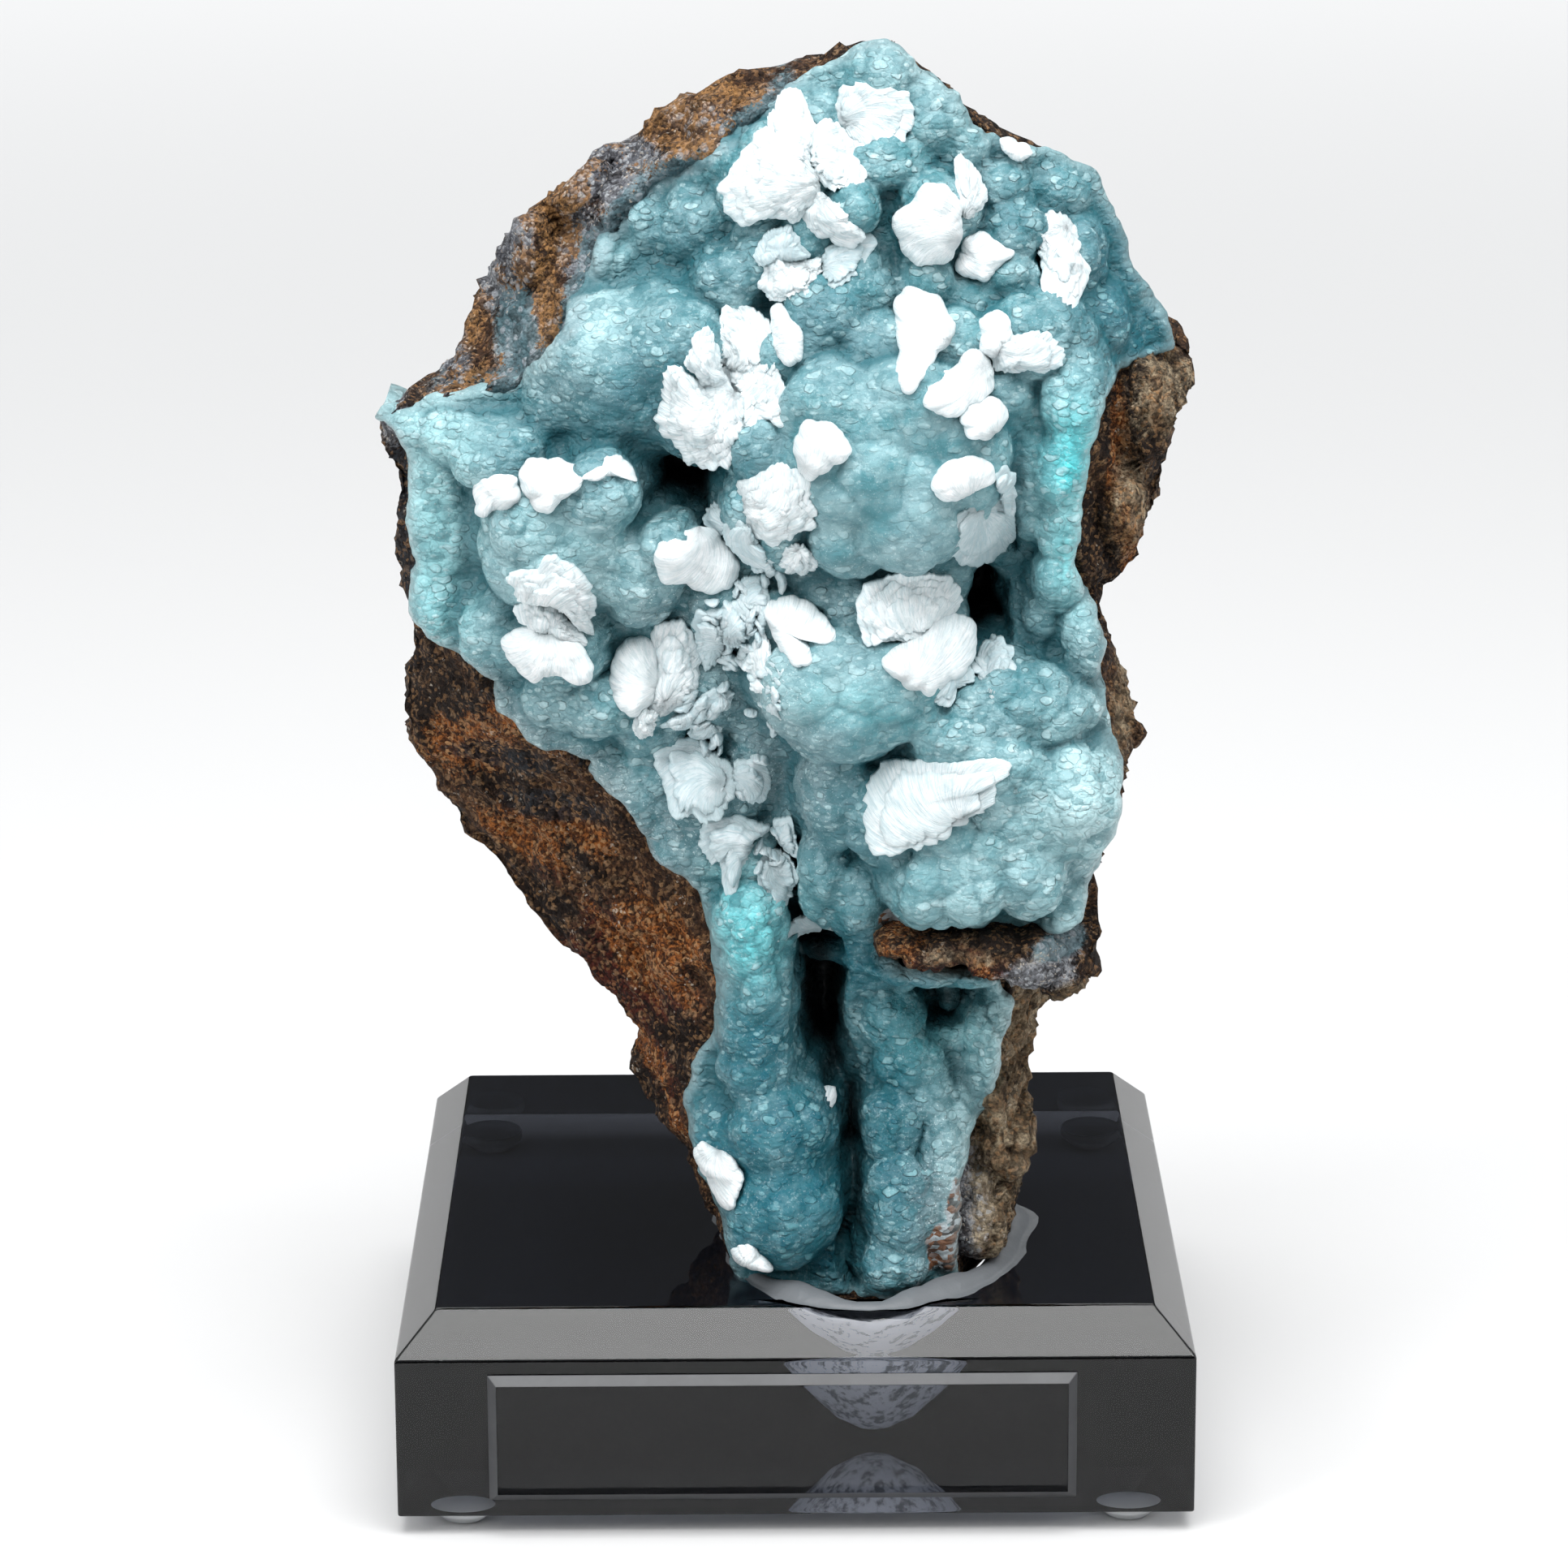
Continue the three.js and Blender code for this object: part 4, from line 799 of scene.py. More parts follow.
def crustFinish():
    # a veined blue-green ground and zones of other colours, the deep teal partly the crust's own and
    # partly painted shade; chips, and flakes that are partly painted glints; painted highlights on the
    # buds, along the scales' rims, in specks and along the rim; painted shade in the seams, creases,
    # hollows and pits; and brown stains
    f = Finish("smithsoniteSkin", IOR=1.6, Specular_IOR_Level=0.2, Subsurface_Weight=0.06,
               Subsurface_Scale=0.0012, Subsurface_Radius=(0.5, 1.0, 1.1), Coat_Weight=0.12,
               Coat_Roughness=0.12)
    place = f.place()
    warp = f.warped(f.stretched(place, (0, 0.5, 0), (1, 1, 1.6)), 2.6, 2.4)
    chip, chipTag = f.pebbles(warp, 2.4), f.tag(warp, 2.4)
    seamShade = f.pebbles(warp, 2.4, "DISTANCE_TO_EDGE").stepped(0.08, 0.0)
    leaning = f.stretched(place, (0, 0.4, 0), (1, 1, 1.8))
    small, smallTag = f.pebbles(leaning, 1.3), f.tag(leaning, 1.3)
    veil = f.grain(place, 11.0, 4.0, 0.6)
    cloud = f.grain(place, 3.0, 3.0, 0.6)
    speckle = f.grain(place, 0.33, 3.0, 0.7)
    drusy, pale, deepTealAndShade, scale, scaleTone = [
        f.attribute(label) for label in ("drusy", "pale", "deepTealAndShade", "scale", "scaleTone")]
    lively = 1 - f.attribute("calm") * 0.75

    # chips from dark to pale with rounded ends, and painted shade along the seams between them
    disc = chip.stepped(0.52, 0.4)
    chipLook = f.mixed((deepTealAndShade * 0.7).clamped(), (0.48, 0.67, 0.7), (0.14, 0.37, 0.41))
    strewn = (cloud.stepped(0.36, 0.58) * 0.6 + 0.12) * lively
    # flakes, partly the crust's own pale flakes and partly painted glints
    flakeAndGlint = smallTag.stepped(0.78, 0.88) * small.stepped(0.5, 0.36) * veil.stepped(0.4, 0.55)
    flakeAndGlintLook = f.mixed((deepTealAndShade * 0.7).clamped(), (0.6, 0.77, 0.79), (0.25, 0.5, 0.54))
    # painted highlight: a thin pale ring round some of the scales
    scaleRimHighlight = scale.stepped(0.6, 0.44) * scale.stepped(0.14, 0.32) * scaleTone.stepped(0.4, 0.8)
    # painted highlight: small bright specks, most in drusy zones
    glint = speckle.stepped(0.6, 0.68) * (drusy * 0.7 + pale * 0.25 + 0.25)
    frosted = (f.attribute("frosted") + cloud - 0.5).stepped(0.3, 0.7)
    stain = (f.attribute("stain") + cloud - 0.5).stepped(0.35, 0.6)
    stoneLook = f.mixed(smallTag.stepped(0.5, 0.75), (0.2, 0.075, 0.025), (0.42, 0.46, 0.48))

    body = f.overlaid(
        f.mixed(veil.stepped(0.38, 0.62), (0.085, 0.255, 0.29), (0.21, 0.36, 0.395)),
        (cloud.stepped(0.42, 0.6) * 0.5, (0.27, 0.43, 0.46)),
        # darker teal, partly the crust's own and partly painted shade
        ((deepTealAndShade * 0.95).clamped(), (0.006, 0.105, 0.145)),
        (drusy * 0.8, (0.2, 0.26, 0.28)),
        ((pale * 0.85).clamped(), (0.43, 0.64, 0.67)),
        (f.attribute("turquoise") * 0.95, (0.1, 0.66, 0.71)),
        # painted highlight towards the middle of each bud, varying at random by scale
        (f.attribute("bud") * scaleTone * 0.25, (0.32, 0.54, 0.57)),
        (chipTag.stepped(0.42, 0.1) * lively * 0.5, (0.03, 0.155, 0.185)),
        (chipTag.stepped(0.6, 0.8) * disc * strewn, chipLook),
        (flakeAndGlint * lively * (drusy * 0.3 + 0.5), flakeAndGlintLook),
        (seamShade * lively * 0.35, (0.03, 0.13, 0.15)),
        (scaleRimHighlight * speckle.stepped(0.42, 0.58) * 0.25, (0.5, 0.68, 0.71)),
        (glint.clamped(), (0.76, 0.88, 0.9)),
        (frosted * 0.5, f.mixed(cloud, (0.14, 0.24, 0.27), (0.32, 0.4, 0.43))),
        # painted shade in the creases between buds and between lobes
        (f.attribute("creaseShade") * 0.6, (0.02, 0.12, 0.145)),
        # painted shade in the hollows
        (f.attribute("hollowShade") * 0.75, (0.012, 0.1, 0.125)),
        # painted shade, near black, in the pits and openings
        (f.attribute("pitShade") * 0.95, (0.006, 0.005, 0.005)),
        (stain * 0.9, f.mixed(smallTag.stepped(0.3, 0.15), stoneLook, (0.04, 0.025, 0.02))),
        # painted highlight along the crust's rolled rim, not where it is frosted
        (f.attribute("rim") * (1 - frosted) * 0.3, (0.42, 0.52, 0.53)))
    height = (disc * chipTag * 0.5 + chip * -0.4 + small * -0.35) * lively + speckle * 0.22
    return f.feed(Base_Color=body, Normal=f.bumped(height, 0.75), Roughness=speckle * 0.3 + 0.28)


# Rock: sizes, heights and depths in mm

rock = {
    "rows": 218, "frontColumns": 256, "backColumns": 144, "rootRows": 14, "rootShrink": 1.5,
    "coverInset": [1.0, 2.4], "coverBehind": 2.0, "topDrop": 2.2,
    "backFullness": 0.8, "backRoughness": 1.4,
    "lumpSize": 7.0, "lumpHeight": 1.0, "ledgeHeight": 1.0,
    "grainSize": 2.1, "grainHeight": 0.75, "grit": 0.4,
    "knobSize": 2.9, "knobHeight": 1.5,
    # x, z, half width, half height, strength
    "zones": {
        "rust": [[-52, 118, 10, 9, 1.0], [-40, 103, 12, 8, 0.8], [-25, 85, 10, 12, 0.7],
                 [-45, 126, 9, 5, 0.7], [30, 91, 12, 3, 0.55], [-24, 62, 5, 10, 0.7],
                 [52, 166, 2.5, 15, 1.0], [-40, 186, 2.5, 5, 1.0], [-50, 178, 5, 3, 0.7],
                 [24, 44, 3, 5, 0.6], [17, 40, 3, 5, 0.4], [18, 94, 6, 3, 0.7], [36, 89, 7, 2.5, 0.85],
                 [54, 150, 2.5, 9, 0.9], [58, 176, 2.5, 8, 0.8]],
        "red": [[-28, 80, 14, 16, 1.0], [-22, 64, 6, 10, 0.8], [-40, 96, 8, 8, 0.6],
                [28, 92, 16, 4, 1.0]],
        "sand": [[34, 58, 7, 15, 1.1], [38, 74, 6, 10, 1.0], [32, 44, 5, 8, 0.8], [54, 160, 6, 16, 0.6],
                 [59, 176, 8, 10, 0.7], [53, 126, 4, 8, 0.8], [44, 84, 6, 5, 0.9], [28, 93, 14, 3, 0.6]],
        "sugar": [[-37, 203, 6, 8, 0.95], [-34, 208, 5, 6, 0.9], [-41, 195, 5, 6, 0.85],
                  [-51, 178, 7, 4, 0.85], [-51, 187, 4, 7, 0.75], [-18, 218, 10, 6, 1.1],
                  [-38, 189, 3, 6, 1.0], [-29, 213, 8, 5, 0.65], [-10, 223, 8, 4, 0.8]],
        "quartz": [[-46, 199, 6, 12, 1.4], [38, 90, 10, 6, 0.75], [-33, 200, 5, 10, 0.9],
                   [-55, 183, 4, 6, 1.0], [-28, 211, 12, 6, 1.2], [-54, 180, 5, 5, 0.9],
                   [28, 48, 5, 12, 1.0], [42, 92, 6, 5, 0.7], [-14, 219, 8, 4, 0.8],
                   [-38, 175, 14, 5, 0.8], [-62, 172, 5, 5, 0.9]],
        "frost": [[-43, 186, 5, 9, 1.2], [-33, 200, 4, 6, 0.8], [-45, 178, 6, 4, 0.9],
                  [42, 94, 5, 2.2, 1.5]],
        "ash": [[-47, 116, 12, 4, 0.9], [-38, 108, 12, 4, 0.9], [-62, 155, 4, 24, 0.8],
                [-30, 120, 8, 4, 0.8], [58, 160, 5, 16, 0.5]],
    },
}


def rockRoughness(x, z):
    # slanting bands crossed by smaller waves
    bands = np.sin(0.24 * x + 0.33 * z) + 0.6 * np.sin(0.52 * x + 0.39 * z + 2)
    crossed = np.sin(0.61 * x - 0.23 * z + 1.3) * np.sin(0.47 * z + 0.19 * x + 0.4)
    return 0.7 * bands + 0.9 * crossed


def rockDepth(x, z):
    # level with the back of the crust's rim inside its outline, flush with its front on the
    # upper left, falling away to the edges
    left, right = limits(crustOutline, z, 1), limits(crustOutline, z, 2)
    flush = smoothStep(171, 179, z) * smoothStep(6, -4, x)
    depth = sampled(levelDepth, np.clip(x, left, right), z) + crustRim * (1 - 0.95 * flush)
    leftSpan = left - limits(rockOutline, z, 1)
    rightSpan = limits(rockOutline, z, 2) - right
    for past, span, column in ((left - x, leftSpan, 3), (x - right, rightSpan, 4)):
        t = np.clip(past / np.maximum(span, 0.1), 0, 1)
        depth = depth + (limits(rockOutline, z, column) - depth) * t
    return addLumps(depth + rockRoughness(x, z), x, z, rockLumps)


def coverDepth():
    # deepest crust within a few mm, a little further back, for the rock under the crust
    deepest = frontDepth.copy()
    for shift, axis in itertools.product((4, 8), (0, 1)):
        beside = np.maximum(np.roll(deepest, shift, axis), np.roll(deepest, -shift, axis))
        deepest = np.maximum(deepest, beside)
    return blurred(deepest, 1.5) + rock["coverBehind"]


def rockAngles():
    # from 0 to pi, from left to right along the front and back again along the back
    front = np.linspace(0, np.pi, rock["frontColumns"])
    return front, np.linspace(0, np.pi, rock["backColumns"] + 2)[1:-1]


def rockRows():
    # rings at each height: front points x = middle - half cos(a), a from 0 to pi, at the
    # front's depth, then back points edge + (back - edge) sin(a)^fullness
    z = np.linspace(blockTop, rockOutline[-1, 0], rock["rows"])[:, None]
    left, right = limits(rockOutline, z, 1), limits(rockOutline, z, 2)
    middle, half = (left + right) / 2, (right - left) / 2
    frontAngle, backAngle = rockAngles()
    x = middle - half * np.cos(frontAngle)
    zz = np.broadcast_to(z, x.shape)
    front = rockDepth(x, zz)
    under = smoothStep(*rock["coverInset"], sampled(edgeDistance, x, zz))
    front = front + (np.maximum(sampled(coverDepth(), x, zz), front) - front) * under
    frontPoints = np.stack([x, frontFace + front, zz], -1)

    x = middle + half * np.cos(backAngle)
    zz = np.broadcast_to(z, x.shape)
    share = backAngle / np.pi
    edge = rockDepth(right, z) * (1 - share) + rockDepth(left, z) * share
    arch = (limits(rockBack, z, 1) - edge) * np.sin(backAngle) ** rock["backFullness"]
    rough = rock["backRoughness"] * rockRoughness(x + arch, zz) * np.sin(backAngle)
    backPoints = np.stack([x, frontFace + edge + arch + rough, zz], -1)
    return np.concatenate([frontPoints, backPoints], 1)


def ellipseRow(x, y, halfWidth, halfDepth, angle, height):
    # level points x + a cos(t), y + b sin(t)
    return np.stack([x + halfWidth * np.cos(angle), y + halfDepth * np.sin(angle),
                     np.full(len(angle), height)], -1)


def rootRows():
    # ellipses that follow the carved seat, a little smaller
    shrink = rock["rootShrink"]
    front, back = rockAngles()
    angle = np.concatenate([np.pi + front, back])
    rows = []
    for height in np.linspace(seatRings[0, 0], seatRings[-2, 0], rock["rootRows"]):
        cx, depth, halfWidth, halfDepth = [limits(seatRings, height, k) for k in (1, 2, 3, 4)]
        rows.append(ellipseRow(cx, frontFace + depth, halfWidth - shrink, halfDepth - shrink,
                               angle, height + shrink))
    return np.array(rows)


def gridNormals(grid):
    # cross product of the two directions along the grid, closed across its columns
    across = np.roll(grid, -1, 1) - np.roll(grid, 1, 1)
    upwards = np.gradient(grid, axis=0)
    n = np.cross(across, upwards)
    return n / np.maximum(np.linalg.norm(n, axis=-1, keepdims=True), 1e-9)


def rockLift(rows, knob):
    # height of the stone's relief over its rows: ledges along its slanting layers, lumps,
    # grains and grit, and knobs where it is sandy; none under the crust and at the block
    x, y, z = np.moveaxis(rows, -1, 0)
    layers = np.stack([(x + z) / 3.2, (x - z) / 16, y / 9], -1)
    ledge = 0.4 - 1.6 * np.abs(noise(layers, 1.0, 83)) + 0.4 * noise(layers * 2.3, 1.0, 84)
    covered = smoothStep(0.6, 2.0, sampled(edgeDistance, x, z)) * (y < frontFace + crust["rootDepth"])
    sand = spots(x, z, rock["zones"]["sand"])
    lump = cells(rows, rock["lumpSize"], 61)[0]
    grain, _, grainTag = cells(rows, rock["grainSize"], 71)
    lift = rock["lumpHeight"] * layered(rows, rock["lumpSize"], 3, 81)
    lift += rock["ledgeHeight"] * ledge * (1 - sand)
    lift += (0.5 + 0.6 * sand) * (0.6 - lump) * rock["lumpHeight"]
    lift += rock["grainHeight"] * (1 + 0.8 * sand) * (0.5 - grain) * (0.4 + grainTag)
    lift += rock["grit"] * noise(rows, 0.8, 91)
    lift += rock["knobHeight"] * sand * domed(knob, 0.7, 0.5)
    # the upper left stands out a little further
    lift += (0.8 + 0.7 * smoothStep(198, 206, z)) * smoothStep(178, 186, z) * smoothStep(0, -8, x)
    return lift * (1 - covered) * smoothStep(blockTop, blockTop + 5, z)


def makeRock(material):
    # the root in its seat and the stone above it, displaced along its normals
    main, root = rockRows(), rootRows()
    z = main[..., 2]
    knob, knobNext, _ = cells(main, rock["knobSize"], 95)
    lowered = rock["topDrop"] * nearTop(z)
    main = main + gridNormals(main) * rockLift(main, knob)[..., None]
    main[..., 2] -= lowered
    rows = np.concatenate([root, main])
    points, faceSets = tubeFaces(rows)

    x, y, z = points.T
    flattened = points * (1, 0.6, 1)
    across, along = flattened @ (0.7, 0.0, 0.7), flattened @ (0.7, 0.5, -0.7)
    band = layered(np.stack([across, along / 6, y / 3], -1), 5.0, 3, 101)
    # the zones fade out round the sides
    frontal = smoothStep(74, 58, y - frontFace + 5 * noise(points, 4.0, 111))
    nearCrust = smoothStep(-4.5, 0, sampled(edgeDistance, x, z)) * smoothStep(172, 180, z)
    nearCrust = 0.85 * nearCrust * smoothStep(6, -2, x)
    zone = {label: spots(x, z, spotRows) for label, spotRows in rock["zones"].items()}
    # painted shade in the crevices between the sandy knobs
    knobCreviceShade = np.zeros(rows.shape[:2])
    knobCreviceShade[len(root):] = smoothStep(0.22, 0.0, knobNext - knob)
    knobCreviceShade = knobCreviceShade.ravel() * zone["sand"]
    zone["frost"] = np.maximum(zone["frost"], nearCrust)
    attributes = {label: strength * frontal for label, strength in zone.items()}
    attributes |= {"gap": knobCreviceShade, "band": band * 0.5 + 0.5}
    piece = buildMesh("gossanRock", points, faceSets, attributes)
    placePiece(piece, ["gossan_matrix"], "gossan", material)


def rockFinish():
    # the ground nearly black to brown by bands, then zones of red-brown, orange, ash, grey
    # stone, frost, honey and sand, painted shade in the crevices between the sandy knobs, and over them
    # grains from nearly black to bright
    f = Finish("gossanStone", IOR=1.5, Specular_IOR_Level=0.15)
    place = f.place()
    coarse = f.grain(place, 5.0, 5.0, 0.65)
    grit = f.grain(place, 0.6, 4.0, 0.75)
    grain, grainTag = f.pebbles(place, 0.62), f.tag(place, 0.62)
    crumb, crumbTag = f.pebbles(place, 1.3), f.tag(place, 1.3)
    fineTag = f.tag(place, 0.36)
    band = f.attribute("band")
    breakup = (coarse - 0.5) * 0.7 + (grit - 0.5) * 0.7

    red = (f.attribute("red") + band * 0.5 + breakup - 0.25).stepped(0.45, 0.8)
    rust = (f.attribute("rust") + band * 0.9 + breakup - 0.5).stepped(0.4, 0.62)
    ash = (f.attribute("ash") + breakup).stepped(0.45, 0.6)
    quartz = (f.attribute("quartz") + breakup).stepped(0.45, 0.66)
    frost = (f.attribute("frost") + breakup).stepped(0.5, 0.8)
    sugar = (f.attribute("sugar") + (coarse - 0.5) * 2.4 + (grit - 0.5) * 1.2).stepped(0.5, 0.62)
    sand = (f.attribute("sand") + breakup).stepped(0.35, 0.65)
    ochre = f.mixed(grit.stepped(0.42, 0.6), (0.26, 0.075, 0.018), (0.56, 0.2, 0.05))
    stone = f.mixed(coarse.stepped(0.4, 0.62), (0.15, 0.16, 0.185), (0.38, 0.4, 0.43))
    ice = f.mixed(coarse.stepped(0.4, 0.62), (0.1, 0.19, 0.22), (0.26, 0.36, 0.4))
    honey = f.mixed(coarse.stepped(0.46, 0.56), (0.42, 0.22, 0.085), (0.14, 0.075, 0.04))
    honey = f.mixed(grainTag.stepped(0.3, 0.8) * 0.7, honey, (0.5, 0.26, 0.095))
    tan = f.mixed(coarse.stepped(0.42, 0.6), (0.24, 0.17, 0.1), (0.6, 0.48, 0.32))
    icy = (quartz + frost).clamped()
    stony = (1 - frost * 0.85 - quartz * 0.4 - sand * 0.45 - sugar * 0.25).clamped()
    lively = rust * 0.6 + quartz * 0.35 + sand * 0.3 + 0.38
    patch = (coarse + quartz * 0.2).stepped(0.5, 0.65)

    body = f.overlaid(
        f.mixed((band + breakup * 0.7).stepped(0.4, 0.6), (0.024, 0.016, 0.013),
                (0.1, 0.05, 0.027)),
        ((coarse + (grit - 0.5)).stepped(0.56, 0.72) * 0.8, (0.18, 0.105, 0.06)),
        (red * 0.8, f.mixed(grainTag, (0.06, 0.014, 0.01), (0.17, 0.035, 0.02))),
        (rust * 0.85, ochre),
        (ash * 0.9, (0.036, 0.042, 0.05)),
        (quartz * 0.92, stone),
        (frost * 0.92, ice),
        (sugar * 0.92, honey),
        (sand * 0.9, tan),
        # painted shade in the crevices between the sandy knobs
        (f.attribute("gap") * 0.7, (0.04, 0.025, 0.016)),
        (crumbTag.stepped(0.62, 0.9) * crumb.stepped(0.62, 0.42) * 0.6,
         f.mixed(icy, (0.4, 0.25, 0.14), (0.5, 0.53, 0.57))),
        (crumbTag.stepped(0.3, 0.1) * 0.5, (0.016, 0.011, 0.009)),
        (grainTag.stepped(0.4, 0.15) * 0.7 * stony, (0.012, 0.008, 0.007)),
        (grit.stepped(0.47, 0.36) * 0.75 * stony, (0.014, 0.009, 0.007)),
        (grainTag.stepped(0.74, 0.94) * stony * lively,
         f.mixed(icy, (0.5, 0.27, 0.12), (0.72, 0.75, 0.78))),
        (fineTag.stepped(0.94, 0.98) * patch * 0.7, (0.7, 0.62, 0.52)),
        (fineTag.stepped(0.3, 0.15) * stony * 0.6, (0.01, 0.007, 0.006)))
    height = grit * 0.6 + grain * -0.6 + grainTag * 0.5 + crumb * -0.7 + crumbTag * 0.5
    return f.feed(Base_Color=body, Normal=f.bumped(height, 1.5), Roughness=grit * 0.5 + 0.4)


# Calcite: lobes in layers, sizes in mm

calcite = {
    "columns": 100, "bladeColumns": 36, "rows": 14,
    "lumpSize": 2.0, "puffSize": 2.8, "ridgeWidth": 0.5,
    "rootShift": 0.9, "bend": 0.9, "rimThickness": 0.9, "rootReach": 0.6, "rootDepth": 1.8,
}

# how a lobe grew. Its layers: share of its outline, start and share of its rise. Then in mm
# the width of its rounded rim, the heights of folds, ridges, lumps and puffs, the reach of the
# pointed teeth and of the rounded scallops round its outline; and its greyness
traits = ("layers", "round", "fold", "ridge", "lump", "puff", "teeth", "scallop", "grey")
growthRows = {
    "ball": ([[1.0, 0.0, 1.0]], 2.6, 0.0, 0.05, 0.3, 0.5, 0.06, 0.45, 0.04),
    "fan": ([[1.0, 0.0, 0.42], [0.86, 0.24, 0.38], [0.7, 0.46, 0.36], [0.5, 0.68, 0.34]],
            1.6, 0.22, 0.07, 0.35, 0.5, 0.4, 0.6, 0.14),
    "flat": ([[1.0, 0.0, 0.5], [0.76, 0.35, 0.65]], 1.5, 0.15, 0.06, 0.25, 0.4, 0.45, 0.5, 0.22),
    "pale": ([[1.0, 0.0, 0.45], [0.74, 0.35, 0.6]], 1.3, 0.22, 0.1, 0.35, 0.35, 0.35, 0.5, 0.7),
    "grey": ([[1.0, 0.0, 0.4], [0.76, 0.4, 0.6]], 1.1, 0.22, 0.1, 0.3, 0.25, 0.35, 0.4, 0.8),
    "blade": ([[1.0, 0.0, 1.0]], 0.8, 0.2, 0.06, 0.1, 0.1, 0.2, 0.3, 0.65),
}
growth = {style: dict(zip(traits, row)) for style, row in growthRows.items()}

# small loose blades between the larger lobes: half length in pixels, width against length,
# curl, rise in mm, points round the outline; and where they stand: middle column and row in
# the photograph, half width and half height of the patch, and how many
blade = {"half": (9, 17), "narrow": 0.45, "curl": 0.3, "rise": (1.2, 2.4), "corners": 10}
bladePatches = {
    "calcite_grey_blades": [[905, 770, 34, 60, 30], [940, 730, 30, 34, 12], [868, 870, 40, 36, 12]],
    "calcite_heart_blades": [[940, 850, 22, 60, 14]],
    "calcite_shaft_fans": [[900, 930, 40, 50, 12]],
    "calcite_lower_fan": [[955, 1060, 24, 50, 10]],
    "calcite_grey_tuft": [[1226, 816, 22, 26, 8]],
}

